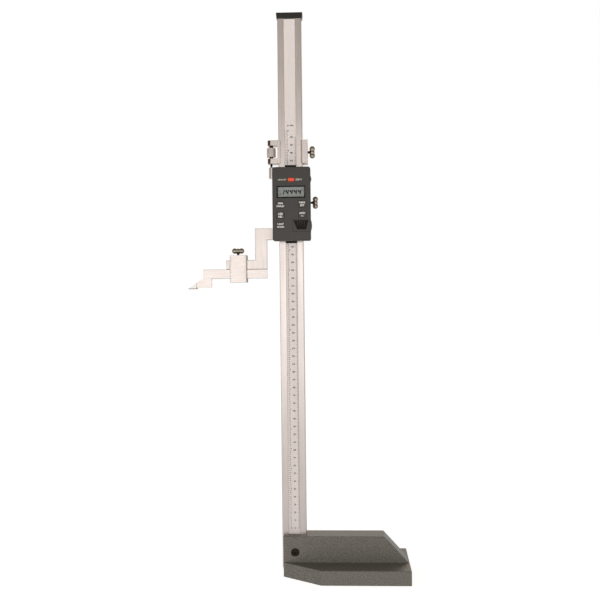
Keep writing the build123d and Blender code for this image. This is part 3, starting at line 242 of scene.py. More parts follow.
def copied(piece):
    """Copy of a piece with its own mesh."""
    twin = piece.copy()
    twin.data = piece.data.copy()
    bpy.context.scene.collection.objects.link(twin)
    return twin


def apply_modifiers(piece):
    activate(piece)
    for modifier in list(piece.modifiers):
        bpy.ops.object.modifier_apply(modifier=modifier.name)


# ---- finishes
def linear(colour):
    """Display values to the linear values that shaders take."""
    return tuple(c / 12.92 if c <= 0.04045 else ((c + 0.055) / 1.055) ** 2.4 for c in colour)


def map_range(tree, value, start, end, low, high):
    """Number that goes from low to high as the value goes from start to end."""
    made = tree.nodes.new("ShaderNodeMapRange")
    limits = {"From Min": start, "From Max": end, "To Min": low, "To Max": high}
    for socket, number in limits.items():
        made.inputs[socket].default_value = number
    tree.links.new(value, made.inputs["Value"])
    return made.outputs["Result"]


NOISE_SPAN = (0.3, 0.7)     # where most of a noise lies


class Finish:
    """A Principled material that is built up node by node."""

    def __init__(self, name, colour, metallic=0.0, roughness=0.5, **sockets):
        self.material = bpy.data.materials.new(name)
        self.material.use_nodes = True
        self.tree = self.material.node_tree
        self.shader = self.tree.nodes["Principled BSDF"]
        self.colour = (*linear(colour), 1)
        self.shader.inputs["Base Color"].default_value = self.colour
        self.shader.inputs["Metallic"].default_value = metallic
        self.shader.inputs["Roughness"].default_value = roughness
        for socket, value in sockets.items():
            self.shader.inputs[socket.replace("_", " ")].default_value = value
        self.place = self.node("ShaderNodeTexCoord").outputs["Object"]

    def node(self, kind, **settings):
        made = self.tree.nodes.new(kind)
        for key, value in settings.items():
            if key in made.inputs:
                made.inputs[key].default_value = value
            else:
                setattr(made, key, value)
        return made

    def link(self, source, target):
        self.tree.links.new(source, target)

    def add(self, first, second):
        """Both shaders together."""
        both = self.node("ShaderNodeAddShader")
        self.link(first, both.inputs[0])
        self.link(second, both.inputs[1])
        return both.outputs["Shader"]

    def mix(self, factor, first, second):
        """Shader that goes from the first to the second with the factor."""
        mixed = self.node("ShaderNodeMixShader")
        for socket, source in zip(mixed.inputs, (factor, first, second)):
            self.link(source, socket)
        return mixed.outputs["Shader"]

    def noise(self, scale, detail, stretch=(1, 1, 1)):
        """Noise over the object; it is drawn out along an axis whose stretch is small."""
        mapping = self.node("ShaderNodeMapping", Scale=stretch)
        self.link(self.place, mapping.inputs["Vector"])
        noise = self.node("ShaderNodeTexNoise", Scale=scale, Detail=detail)
        self.link(mapping.outputs["Vector"], noise.inputs["Vector"])
        return noise.outputs["Fac"]

    def tint(self, factor, low, high):
        """Base colour that goes from low to high, as shares of the finish's, with the factor."""
        ramp = self.node("ShaderNodeValToRGB")
        for element, position, share in zip(ramp.color_ramp.elements, NOISE_SPAN, (low, high)):
            element.position = position
            element.color = (*[min(1.0, c * share) for c in self.colour[:3]], 1)
        self.link(factor, ramp.inputs["Fac"])
        self.link(ramp.outputs["Color"], self.shader.inputs["Base Color"])

    def polish(self, factor, low, high):
        """Roughness that goes from low to high with the factor."""
        roughness = map_range(self.tree, factor, *NOISE_SPAN, low, high)
        self.link(roughness, self.shader.inputs["Roughness"])

    def relief(self, factor, depth, strength):
        bump = self.node("ShaderNodeBump", Strength=strength, Distance=depth)
        self.link(factor, bump.inputs["Height"])
        self.link(bump.outputs["Normal"], self.shader.inputs["Normal"])


def ground_steel(name, colour, stretch, roughness=(0.26, 0.36)):
    """Ground steel with fine scratches along the axis whose stretch is small."""
    finish = Finish(name, colour, metallic=1.0)
    scratches = finish.noise(scale=900, detail=4, stretch=stretch)
    finish.tint(finish.noise(scale=22, detail=2), low=0.94, high=1.03)
    finish.polish(scratches, *roughness)
    finish.relief(scratches, depth=0.006 * MM, strength=0.6)
    return finish.material


def hammered_paint(name, colour):
    """Enamel that dries in small dimples, with light flecks between them."""
    finish = Finish(name, colour, Specular_IOR_Level=0.55, Specular_Tint=(1, 0.86, 0.72, 1))
    cells = finish.node("ShaderNodeTexVoronoi", Scale=620, Randomness=1.0)
    finish.link(finish.place, cells.inputs["Vector"])
    mottle = finish.noise(scale=700, detail=3)
    finish.tint(mottle, low=0.6, high=1.6)
    finish.polish(mottle, low=0.44, high=0.32)
    finish.relief(cells.outputs["Distance"], depth=0.22 * MM, strength=0.5)
    return finish.material


def moulded_plastic(name, colour, roughness, gloss=0.5, grain=0.02 * MM):
    """Plastic with a fine spark-eroded grain."""
    finish = Finish(name, colour, Specular_IOR_Level=gloss, Specular_Tint=(1, 0.95, 0.88, 1))
    grains = finish.noise(scale=2600, detail=2)
    finish.tint(finish.noise(scale=60, detail=2), low=0.93, high=1.07)
    finish.polish(grains, low=0.9 * roughness, high=1.12 * roughness)
    finish.relief(grains, depth=grain, strength=0.5)
    return finish.material


def satin_film(name, colour, gloss=0.6):
    """Printed film with a soft sheen."""
    finish = Finish(name, colour, roughness=0.42, Specular_IOR_Level=gloss)
    finish.tint(finish.noise(scale=160, detail=2, stretch=(1, 1, 0.05)), low=0.965, high=1.035)
    return finish.material


def printed_ink(name, colour):
    """Dull ink that is a little uneven."""
    finish = Finish(name, colour, roughness=0.6, Specular_IOR_Level=0.2)
    finish.tint(finish.noise(scale=3000, detail=2), low=0.85, high=1.15)
    return finish.material


def turned_metal(name, colour, roughness=(0.14, 0.26)):
    """Turned metal, plated, blackened or bare."""
    finish = Finish(name, colour, metallic=1.0)
    marks = finish.noise(scale=500, detail=3)
    finish.tint(marks, low=0.86, high=1.05)
    finish.polish(marks, *roughness)
    finish.relief(marks, depth=0.01 * MM, strength=0.4)
    return finish.material


def clear_plastic(name):
    """Window that lets nearly all light through."""
    finish = Finish(name, (0.35, 0.37, 0.36), Alpha=0.04, IOR=1.49, Specular_IOR_Level=0.15)
    finish.polish(finish.noise(scale=90, detail=2), low=0.04, high=0.1)
    return finish.material


FINISHES = {}


def make_finishes():
    """One material for each finish on the gauge."""
    look = bpy.context.scene.gauge_finish
    fine = 0.01 * MM        # grain of the dark plastics
    for name, maker, *settings in (
        ("column_steel", ground_steel, look.steel, (1, 1, 0.012)),
        ("frame_steel", ground_steel, look.steel, (1, 1, 0.03), (0.28, 0.4)),
        ("jaw_steel", ground_steel, look.steel, (0.03, 1, 1)),
        ("base_paint", hammered_paint, look.paint),
        ("housing_plastic", moulded_plastic, look.plastic, 0.4, 0.9),
        ("black_plastic", moulded_plastic, look.black, 0.38, 0.2),
        ("deep_black", moulded_plastic, (0.05, 0.05, 0.045), 0.5, 0.2, fine),
        ("grip_black", moulded_plastic, (0.085, 0.082, 0.075), 0.5, 0.2, fine),
        ("red_plastic", moulded_plastic, look.red, 0.32, 0.5, 0.008 * MM),
        ("black_rubber", moulded_plastic, (0.1, 0.1, 0.1), 0.7),
        ("scale_film", satin_film, look.film),
        ("ink", printed_ink, look.ink),
        ("legend", printed_ink, look.legend),
        ("housing_legend", printed_ink, (0.74, 0.735, 0.71)),
        ("lcd_glass", satin_film, look.glass, 0.2),
        ("lcd_ink", printed_ink, (0.015, 0.018, 0.018)),
        ("window_clear", clear_plastic),
        ("screw_nickel", turned_metal, look.nickel),
        ("cell_steel", turned_metal, (0.86, 0.85, 0.84)),
        ("black_steel", turned_metal, (0.24, 0.215, 0.19), (0.34, 0.46)),
        ("brass", turned_metal, (0.83, 0.68, 0.42), (0.25, 0.38)),
        ("carbide", ground_steel, (0.843, 0.83, 0.817), (0.1, 1, 1), (0.2, 0.3)),
        ("braze", turned_metal, (0.66, 0.55, 0.47), (0.4, 0.5)),
        ("nut_steel", ground_steel, (0.96, 0.915, 0.88), (1, 1, 0.1), (0.18, 0.26)),
        # darker steel: the fine rod's own steel, and painted shade on the arms' left ends and the
        # clamp's sides
        ("dark_steel_and_painted_shade", turned_metal, (0.48, 0.42, 0.365), (0.4, 0.5)),
        ("circuit", moulded_plastic, (0.14, 0.36, 0.22), 0.35),
    ):
        FINISHES[name] = maker(name, *settings)


# darker than the cap, which has the same slot
OTHER_FINISH = dict.fromkeys(("display_bezel", "wiper_top", "wiper_bottom"), "deep_black")


class GAUGE_OT_finish(Operator):
    """Give each machined and moulded part its finish"""

    bl_idname = "gauge.finish"
    bl_label = "Finish the Parts"

    def execute(self, context):
        make_finishes()
        for node, piece in NODES.items():
            piece.data.materials.clear()
            piece.data.materials.append(FINISHES[OTHER_FINISH.get(node, SLOT_OF_NODE[node])])
        return {"FINISHED"}


# ---- softened edges
MERGE = 0.002 * MM          # nearer points are one
FLAT = 0.5                  # degrees, faces that meet more gently are merged
SHARP = 28                  # degrees, edges that are gentler stay as they are
SHORTEST = 2.0 * MM         # shorter edges stay as they are
OUTSIDE = 1.0 * MM          # edges this near the sides of the piece's outline are outer edges
INNER_SHARE = 0.5           # width of the other edges, as a share of the outer ones'


def merged_copy(node):
    """Copy of a node with its triangles merged into whole faces."""
    clear_selection()
    piece = copied(NODES[node])
    piece.parent = None
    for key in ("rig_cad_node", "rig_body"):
        del piece[key]
    edit(piece)
    bpy.ops.mesh.remove_doubles(threshold=MERGE)
    bpy.ops.mesh.dissolve_limited(angle_limit=math.radians(FLAT), delimit={"NORMAL"})
    leave_edit()
    return piece


def break_edges(piece, width):
    """Round the long sharp edges, as a stone or a mould leaves them; inner edges get less."""
    low, high = Vector(piece.bound_box[0]), Vector(piece.bound_box[6])
    shape = bmesh.new()
    shape.from_mesh(piece.data)
    weights = shape.edges.layers.float.new("bevel_weight_edge")
    for edge in shape.edges:
        if len(edge.link_faces) == 2 and edge.calc_length() > SHORTEST:
            middle = (edge.verts[0].co + edge.verts[1].co) / 2
            inset = min(middle.x - low.x, high.x - middle.x, middle.z - low.z, high.z - middle.z)
            sharp = edge.calc_face_angle(0) > math.radians(SHARP)
            edge[weights] = sharp * (1.0 if inset < OUTSIDE else INNER_SHARE)
    shape.to_mesh(piece.data)
    shape.free()
    bevel = piece.modifiers.new("broken edge", "BEVEL")
    bevel.limit_method = "WEIGHT"
    bevel.width = width
    bevel.segments = 2
    bevel.use_clamp_overlap = False
    apply_modifiers(piece)


def even_shading(piece):
    """Flat faces shade flat, and only the narrow rounded edges between them turn."""
    smooth(piece, 30)
    even = piece.modifiers.new("even shading", "WEIGHTED_NORMAL")
    even.keep_sharp = True
    even.weight = 80
    apply_modifiers(piece)


def second_finish(piece, finish, chosen):
    """Give the faces that chosen(middle, normal) picks another finish."""
    piece.data.materials.append(FINISHES[finish])
    for face in piece.data.polygons:
        if chosen(face.center, face.normal):
            face.material_index = 1


SOFTENED = {                # node: width of the broken edge
    "base_casting": 0.5 * MM,
    "beam": 0.42 * MM,
    "fine_frame": 0.25 * MM,
    "slider_frame": 0.25 * MM,
    "housing": 0.6 * MM,
    "scriber_clamp": 0.3 * MM,
    "scriber": 0.15 * MM,
    "top_cap": 0.5 * MM,
}
# faces picked by these limits get darker steel as painted shade
ARM_END = 4 * MM            # of the fine frame's arms, where their ends are chamfered
LEFTWARDS = -0.5            # a normal's X below this is an arm's end
SIDEWAYS = 0.6              # a normal's X beyond this is a side of the clamp


class GAUGE_OT_soften(Operator):
    """Break the long edges; the arms' left ends and the clamp's sides get darker steel as painted
    shade
    """

    bl_idname = "gauge.soften"
    bl_label = "Break the Edges"

    def execute(self, context):
        for node, width in SOFTENED.items():
            piece = merged_copy(node)
            slot = SLOT_OF_NODE[node]
            break_edges(piece, width)
            even_shading(piece)
            adopt(piece, node + "_finished", BODY_OF_NODE[node], slot, [node])
            # the arms' left-facing end faces get darker steel: painted shade
            if node == "fine_frame":
                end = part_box(node)[0].x + ARM_END
                second_finish(
                    piece, "dark_steel_and_painted_shade",
                    lambda middle, normal: normal.x < LEFTWARDS and middle.x < end,
                )
            # both sideways-facing sides of the clamp get darker steel: painted shade
            if node == "scriber_clamp":
                second_finish(
                    piece, "dark_steel_and_painted_shade", lambda middle, normal: abs(normal.x) > SIDEWAYS
                )
        return {"FINISHED"}


# ---- scriber tip and battery cover
BRAZE_HEIGHT = 0.9 * MM     # of the seam under the tip
BRAZE_JOINT = 0.4 * MM      # of the seam between the tip and the scriber
LEVEL = 0.9                 # a normal's Z beyond this is a level face


class GAUGE_OT_scriber_tip(Operator):
    """Grind the carbide tip over its seam of braze"""

    bl_idname = "gauge.scriber_tip"
    bl_label = "Grind the Scriber Tip"

    def execute(self, context):
        piece = merged_copy("scriber_tip")
        low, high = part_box("scriber_tip")
        seam, joint = low.z + BRAZE_HEIGHT, high.x - BRAZE_JOINT
        edit(piece)
        for place, normal in (((0, 0, seam), (0, 0, 1)), ((joint, 0, 0), (1, 0, 0))):
            bpy.ops.mesh.select_all(action="SELECT")
            bpy.ops.mesh.bisect(plane_co=place, plane_no=normal)
        leave_edit()
        adopt(piece, "scriber_tip_finished", "scriber", "carbide", ["scriber_tip"])
        second_finish(
            piece, "braze",
            lambda middle, normal: middle.x > joint or middle.z < seam and abs(normal.z) < LEVEL,
        )
        return {"FINISHED"}


GRIP_OLD = (7.5 * MM, 24.0 * MM)        # left and right of the grip's recess at its top
GRIP_NEW = (3.9 * MM, 22.6 * MM)
GRIP_DEPTH = 0.9 * MM                   # everything of the grip is nearer to the cover's face
GRIP_BORDER = 1.0 * MM                  # plain border above and below the grip
RIB_SUNK = 0.3 * MM                     # the ribs' tops are nearer to the cover's face
NEARLY = 0.1 * MM
FACE_SKIN = 0.01 * MM
FACING = -0.9                           # a normal's Y below this faces the reader


class GAUGE_OT_battery_grip(Operator):
    """Set the battery cover's ribbed grip and blacken its recess"""

    bl_idname = "gauge.battery_grip"
    bl_label = "Set the Battery Grip"

    def execute(self, context):
        node = "battery_cover"
        piece = merged_copy(node)
        low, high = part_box(node)

        def in_grip(point):
            return (
                point.y < low.y + GRIP_DEPTH
                and GRIP_OLD[0] - NEARLY < point.x < GRIP_OLD[1] + NEARLY
                and low.z + GRIP_BORDER < point.z < high.z - GRIP_BORDER
            )

        def in_recess(face):
            rib_top = face.normal.y < FACING and face.center.y < low.y + RIB_SUNK
            sunk = face.center.y > low.y + FACE_SKIN
            return sunk and not rib_top and all(
                in_grip(piece.data.vertices[index].co) for index in face.vertices
            )

        grip = [vertex for vertex in piece.data.vertices if in_grip(vertex.co)]
        recess = {face.index for face in piece.data.polygons if in_recess(face)}
        scale = (GRIP_NEW[1] - GRIP_NEW[0]) / (GRIP_OLD[1] - GRIP_OLD[0])
        for vertex in grip:
            vertex.co.x = GRIP_NEW[0] + (vertex.co.x - GRIP_OLD[0]) * scale
        even_shading(piece)
        adopt(piece, node + "_finished", node, "housing_plastic", [node])
        piece.data.materials.append(FINISHES["grip_black"])
        for index in recess:
            piece.data.polygons[index].material_index = 1
        return {"FINISHED"}


# ---- graduations
GLYPHS = {}
BOLDER = 0.028              # outline of the letters, as a share of their size


def glyph(text):
    """Flat mesh of a word or a digit, one unit high, that faces the reader; it is modelled once."""
    if text not in GLYPHS:
        clear_selection()
        bpy.ops.object.text_add(location=(0, 0, 0), rotation=(math.radians(90), 0, 0))
        words = bpy.context.object.data
        words.body = text
        words.size = 1.0
        words.resolution_u = 2
        words.offset = BOLDER
        words.align_x = words.align_y = "CENTER"
        bpy.ops.object.convert(target="MESH")
        made = bpy.context.object
        settle(made)
        made.scale = [1 / made.dimensions.z] * 3
        settle(made)
        GLYPHS[text] = made.data.copy()
        bpy.data.objects.remove(made)
    return GLYPHS[text]


def line_mark(x, z, width, height):
    """Flat bar that faces the reader, given by its middle."""
    clear_selection()
    bpy.ops.mesh.primitive_plane_add(size=1, location=(x, 0, z), rotation=(math.radians(90), 0, 0))
    bar = bpy.context.object
    bar.scale = (width, height, 1)
    settle(bar)
    return bar


def joined(pieces):
    """One object from several, with their places in its mesh."""
    clear_selection()
    for piece in pieces:
        piece.select_set(True)
    bpy.context.view_layer.objects.active = pieces[0]
    bpy.ops.object.join()
    settle(bpy.context.object)
    return bpy.context.object


class Print:
    """Ink on a plane that faces the reader."""

    def __init__(self, depth, ink):
        self.marks = []
        self.depth = depth
        self.ink = ink

    def row(self, x, z, width, height, count, step):
        """Column of equal lines, the lowest at z."""
        line = line_mark(x, z, width, height)
        repeat = line.modifiers.new("repeat", "ARRAY")
        repeat.count = count
        repeat.use_relative_offset = False
        repeat.use_constant_offset = True
        repeat.constant_offset_displace = (0, 0, step)
        apply_modifiers(line)
        self.marks.append(line)

    def word(self, text, x, z, height, stretch=1.0):
        """Word or number, given by its middle."""
        mark = bpy.data.objects.new(text, glyph(text).copy())
        bpy.context.scene.collection.objects.link(mark)
        mark.location = (x, 0, z)
        mark.scale = (height * stretch, height, height)
        self.marks.append(mark)

    def finish(self):
        """Join the marks, lay them on the plane and give the ink its thickness."""
        piece = joined(self.marks)
        piece.location = (0, self.depth - self.ink, 0)
        settle(piece)
        solid = piece.modifiers.new("thickness", "SOLIDIFY")
        solid.thickness = self.ink
        solid.offset = -1
        apply_modifiers(piece)
        return piece


METRIC_LINES = ((1, 0, 1.7), (5, 1.7, 2.4), (10, 2.4, 3.0))     # every so many mm, from, to
INCH_LINES = ((1, 0, 2.2), (5, 2.2, 2.5), (10, 2.5, 2.8))       # every so many tenths, from, to
METRIC_DIGIT_X, METRIC_STRETCH = 1.2 * MM, 0.8      # place across the film, and width of numerals
INCH_DIGIT_X, INCH_STRETCH = -3.2 * MM, 0.75
TENTH_DIGIT_X, TENTH_STRETCH = -4.1 * MM, 0.85
UNIT_RISE = 15.0 * MM                               # unit names above the last metric line
UNIT_NAMES = (                                      # name, place across the film, height
    ("mm", METRIC_DIGIT_X + 0.6 * MM, 1.7 * MM),
    ("in", INCH_DIGIT_X + 0.2 * MM, 2.2 * MM),
)


class GAUGE_OT_scale(Operator):
    """Print the metric and inch graduations on the column's film"""

    bl_idname = "gauge.scale"
    bl_label = "Print the Scale"

    def execute(self, context):
        scale = context.scene.gauge_scale
        low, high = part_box("scale_strip")
        lines = Print(low.y, scale.ink)
        for table, edge, inwards, unit, units in (
            (METRIC_LINES, high.x, -1, MM, scale.range_mm),
            (INCH_LINES, low.x, 1, INCH / 10, scale.range_in * 10),
        ):
            for every, begin, end in table:
                lines.row(
                    edge + inwards * (begin + end) / 2 * MM, scale.zero, (end - begin) * MM,
                    scale.line, units // every + 1, every * unit,
                )
        adopt(lines.finish(), "scale_lines", "base", "ink")

        digits = Print(low.y, scale.ink)
        for tens in range(scale.range_mm // 10 + 1):
            z = scale.zero + tens * 10 * MM
            digits.word(str(tens * 10), METRIC_DIGIT_X, z, scale.metric_digit, METRIC_STRETCH)
        for tenths in range(scale.range_in * 10 + 1):
            whole, tenth = divmod(tenths, 10)
            z = scale.zero + tenths * INCH / 10
            if tenth:
                digits.word(str(tenth), TENTH_DIGIT_X, z, scale.tenth_digit, TENTH_STRETCH)
            else:
                digits.word(str(whole), INCH_DIGIT_X, z, scale.inch_digit, INCH_STRETCH)
        top = scale.zero + scale.range_mm * MM + UNIT_RISE
        for name, x, height in UNIT_NAMES:
            digits.word(name, x, top, height)
        adopt(digits.finish(), "scale_numerals", "base", "ink")
        return {"FINISHED"}


# ---- display
SEGMENTS = {                # which of a digit's seven strokes are dark, a to g
    "0": "abcdef", "1": "bc", "2": "abged", "3": "abgcd", "4": "fgbc",
    "5": "afgcd", "6": "afgedc", "7": "abc", "8": "abcdefg", "9": "abcdfg",
}
STROKE = 0.22               # stroke width as a share of the digit's height
STROKE_GAP = 0.06           # at each end, as a share of the stroke's width
SLANT = math.tan(math.radians(13))
DIGIT_WIDTH = 0.38          # as a share of the digit's height
DIGITS_INSET = 5.2 * MM     # from the window's right edge to the last digit
POINT = 0.9 * MM            # side of the decimal point
UNIT_INSET = 3.6 * MM       # of the unit's name from the window's left edge
UNIT_LIFT = 0.4 * MM        # of its middle above the digits' feet
UNIT_HEIGHT = 1.7 * MM
LCD_INK = 0.02 * MM
STROKES = {                 # middle, in half widths and half heights, and whether it lies flat
    "a": (0, 1, True), "b": (1, 0.5, False), "c": (1, -0.5, False), "d": (0, -1, True),
    "e": (-1, -0.5, False), "f": (-1, 0.5, False), "g": (0, 0, True),
}


def stroke(length, thick):
    """Upright bar with pointed ends that faces the reader, about the origin."""
    clear_selection()
    bpy.ops.mesh.primitive_circle_add(
        vertices=6, radius=thick / math.sqrt(3), fill_type="NGON", rotation=(math.radians(90), 0, 0)
    )
    piece = bpy.context.object
    settle(piece)
    grow = length / 2 - thick / math.sqrt(3)
    for vertex in piece.data.vertices:
        vertex.co.z += math.copysign(grow, vertex.co.z)
    return piece


class GAUGE_OT_display(Operator):
    """Form the display's digits behind its window"""

    bl_idname = "gauge.display"
    bl_label = "Set the Display"

    def execute(self, context):
        display = context.scene.gauge_display
        low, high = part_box("display_window")
        centre = middle("display_window")
        height = display.digit_height * (1 - STROKE)
        width = DIGIT_WIDTH * display.digit_height
        foot = centre.z - height / 2
        thick = STROKE * display.digit_height
        digits = Print(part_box("lcd_panel")[0].y, LCD_INK)
        upright = stroke(height / 2 * (1 - STROKE_GAP), thick)
        lying = stroke(width * (1 - STROKE_GAP), thick)
        lying.data.transform(Matrix.Rotation(math.radians(90), 4, "Y"))
        slant = Matrix.Identity(4)
        slant[0][2] = SLANT
        x = high.x - DIGITS_INSET - width / 2
        for character in reversed(display.reading):
            if character == ".":
                digits.marks.append(line_mark(x + display.digit_pitch / 2, foot, POINT, POINT))
                continue
            for name in SEGMENTS[character]:
                across, along, flat = STROKES[name]
                mark = copied(lying if flat else upright)
                place = Matrix.Translation((across * width / 2, 0, along * height / 2))
                mark.data.transform(Matrix.Translation((x, 0, centre.z)) @ slant @ place)
                digits.marks.append(mark)
            x -= display.digit_pitch
        digits.word("in", low.x + UNIT_INSET, foot + UNIT_LIFT, UNIT_HEIGHT)
        bpy.data.objects.remove(upright)
        bpy.data.objects.remove(lying)
        adopt(digits.finish(), "display_digits", "slider", "lcd_ink")
        return {"FINISHED"}


LEGENDS = {                 # two short lines on each key
    "key_left_top": ("MIN", "HOLD"),
    "key_left_middle": ("ABS", "REL"),
    "key_left_bottom": ("UNIT", "MM/IN"),
    "key_right_top": ("MAX", "SET"),
    "key_right_bottom": ("ADD", "+/-"),
}
SLASHED = 0.9               # height of a line with a slash, which is taller than its capitals
LINE_RISE = 0.72            # of a key's lines from its middle, in capitals
LEGEND_STRETCH = 1.05
LEGEND_INK = 0.015 * MM
BESIDE_ZERO = (             # word, place from the zero key, height in capitals
    ("ON/OFF", -11.5 * MM, 0.83),
    ("ZERO", 9.6 * MM, 0.95),
)


class GAUGE_OT_legends(Operator):
    """Print the function marks on the keys and beside the zero key"""

    bl_idname = "gauge.legends"
    bl_label = "Print the Legends"

    def execute(self, context):
        capital = context.scene.gauge_display.legend
        for key, (upper, lower) in LEGENDS.items():
            centre = middle(key)
            words = Print(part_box(key)[0].y, LEGEND_INK)
            words.word(upper, centre.x, centre.z + LINE_RISE * capital, capital, LEGEND_STRETCH)
            height = capital * (SLASHED if "/" in lower else 1)
            words.word(lower, centre.x, centre.z - LINE_RISE * capital, height, LEGEND_STRETCH)
            adopt(words.finish(), key + "_legend", BODY_OF_NODE[key], "legend")
        zero = middle("zero_key")
        beside = Print(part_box("housing")[0].y, LEGEND_INK)
        for word, x, height in BESIDE_ZERO:
            beside.word(word, zero.x + x, zero.z, capital * height, LEGEND_STRETCH)
        adopt(beside.finish(), "zero_key_legend", "slider", "housing_legend")
        return {"FINISHED"}


# ---- turned hardware
def turned(profile, segments):
    """Body turned about the Z axis from (radius, height) points; its ends are closed."""
    clear_selection()
    radius, height = profile[0]
    bpy.ops.mesh.primitive_circle_add(vertices=segments, radius=radius, location=(0, 0, height))
    piece = bpy.context.object
    settle(piece)
    edit(piece)
    for next_radius, next_height in profile[1:]:
        rise = (0, 0, next_height - height)
        bpy.ops.mesh.extrude_region_move(TRANSFORM_OT_translate={"value": rise})
        factor = next_radius / radius
        bpy.ops.transform.resize(
            value=(factor, factor, 1), center_override=(0, 0, next_height), orient_type="GLOBAL"
        )
        radius, height = next_radius, next_height
    leave_edit()
    close_ends(piece)
    return piece


def close_ends(piece):
    """Fill the open rims and point every face outwards."""
    edit(piece)
    bpy.ops.mesh.select_all(action="DESELECT")
    bpy.ops.mesh.select_mode(type="EDGE")
    bpy.ops.mesh.select_non_manifold(extend=False)
    bpy.ops.mesh.edge_face_add()
    bpy.ops.mesh.select_all(action="SELECT")
    bpy.ops.mesh.normals_make_consistent(inside=False)
    bpy.ops.mesh.select_mode(type="VERT")
    leave_edit()


def thread_profile(bottom, top, radius, pitch, depth):
    """Zigzag of (radius, height) points for a threaded length."""
    turns = max(1, round((top - bottom) / pitch))
    step = (top - bottom) / turns
    points = []
    for turn in range(turns):
        z = bottom + turn * step
        points += [(radius - depth, z), (radius, z + step / 2)]
    return points + [(radius - depth, top)]


LOCK_RADIUS = 1.95 * MM     # of the lock screws' thread
LOCK_DEPTH = 0.28 * MM      # of its grooves
THREADED = 0.55             # threaded share of the stud
NECK_FROM = 0.56            # the bare neck starts at this share
NECK_RADIUS = 1.45 * MM
NECK_SHORT = 0.4 * MM       # the neck ends this far below the head
COLLAR = ((2.25 * MM, 0.3 * MM), (2.4 * MM, 1.6 * MM), (1.6 * MM, 2.4 * MM))  # radius, rise

WING_THICK = 5.2 * MM       # of the wings, front to back
LOBE = 3.6 * MM             # radius of the wings' ends
LOBE_ARC = 135              # degrees of a lobe before it runs into the waist
LOBE_STEPS = 9
SPAN = 16.0 * MM            # from end to end of the wings
WAIST = 3.12 * MM           # radius between the lobes
WAIST_HALF = 0.25           # half length of the waist, as a share of a lobe's reach
POLE = 0.25 * MM            # radius of the small flat at each end


def wing_outline():
    """Half section of the wings along their length: a lobe at each end of a waist."""
    reach = SPAN / 2 - LOBE
    half = [(POLE, -reach - LOBE)]
    for step in range(1, LOBE_STEPS):
        angle = math.radians(180 - LOBE_ARC * step / (LOBE_STEPS - 1))
        half.append((LOBE * math.sin(angle), -reach + LOBE * math.cos(angle)))
    half.append((WAIST, -reach * WAIST_HALF))
    return half + [(radius, -z) for radius, z in reversed(half)]


def wing_screw(node, tip, axis, wings):
    """Stud and head of a lock screw: tip is its point, axis the way out, wings the lobes' way."""
    low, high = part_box(node)
    head_out = (high - low).dot(axis) - LOBE
    neck_end = head_out - LOBE - NECK_SHORT
    pitch = bpy.context.scene.gauge_hardware.lock_pitch
    stud = turned(
        thread_profile(0, neck_end * THREADED, LOCK_RADIUS, pitch, LOCK_DEPTH)
        + [(NECK_RADIUS, neck_end * NECK_FROM), (NECK_RADIUS, neck_end)]
        + [(radius, neck_end + rise) for radius, rise in COLLAR],
        segments=24,
    )
    head = turned(wing_outline(), segments=32)
    head.data.transform(Matrix.Rotation(math.radians(90), 4, "Y"))
    head.data.transform(Matrix.Diagonal((1, WING_THICK / (2 * LOBE), 1, 1)))
    head.data.transform(Matrix.Translation((0, 0, head_out)))
    smooth(stud, 40)
    smooth(head, 60)
    # this mirrors too, so the screw's faces point inwards
    turn = Matrix((wings, wings.cross(axis), axis)).transposed().to_4x4()
    for piece in (stud, head):
        piece.data.transform(Matrix.Translation(tip) @ turn)
    return stud, head


class GAUGE_OT_lock_screws(Operator):
    """Turn the three lock screws: blackened studs with bright nickel wings"""

    bl_idname = "gauge.lock_screws"
    bl_label = "Turn the Lock Screws"

    def execute(self, context):
        right, up = Vector((1, 0, 0)), Vector((0, 0, 1))
        for node in ("fine_lock_screw", "slider_lock_screw"):
            tip = middle(node)
            tip.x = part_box(node)[0].x
            self.make(node, tip, right, up)
        tip = middle("clamp_screw")
        tip.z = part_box("clamp_screw")[0].z
        self.make("clamp_screw", tip, up, right)
        return {"FINISHED"}

    def make(self, node, tip, axis, wings):
        stud, head = wing_screw(node, tip, axis, wings)
        body = BODY_OF_NODE[node]
        adopt(stud, node + "_stud", body, "black_steel")
        adopt(head, node + "_wings", body, "screw_nickel", [node])


NUT_BORE = 1.55 * MM        # radius, round the rod
HUB_RADIUS = 2.4 * MM
HUB_EDGE = 0.2 * MM
DRUM_HALF = 6.0 * MM        # half length of the knurled drum
DRUM_EDGE = 0.45 * MM
HAIR = 0.01 * MM            # keeps the drum's edge sharp where the knurl starts
ROD_RADIUS = 1.49 * MM      # of the fine-feed thread
ROD_DEPTH = 0.24 * MM       # of its grooves
ROD_FOOT = ((1.45 * MM, 0), (1.48 * MM, 0.4 * MM))      # radius, height of its plain foot
ROD_END = 1.1 * MM          # radius of its bevelled end
ROD_PLAIN = (0.8 * MM, 0.6 * MM)                        # not threaded at the foot and the end


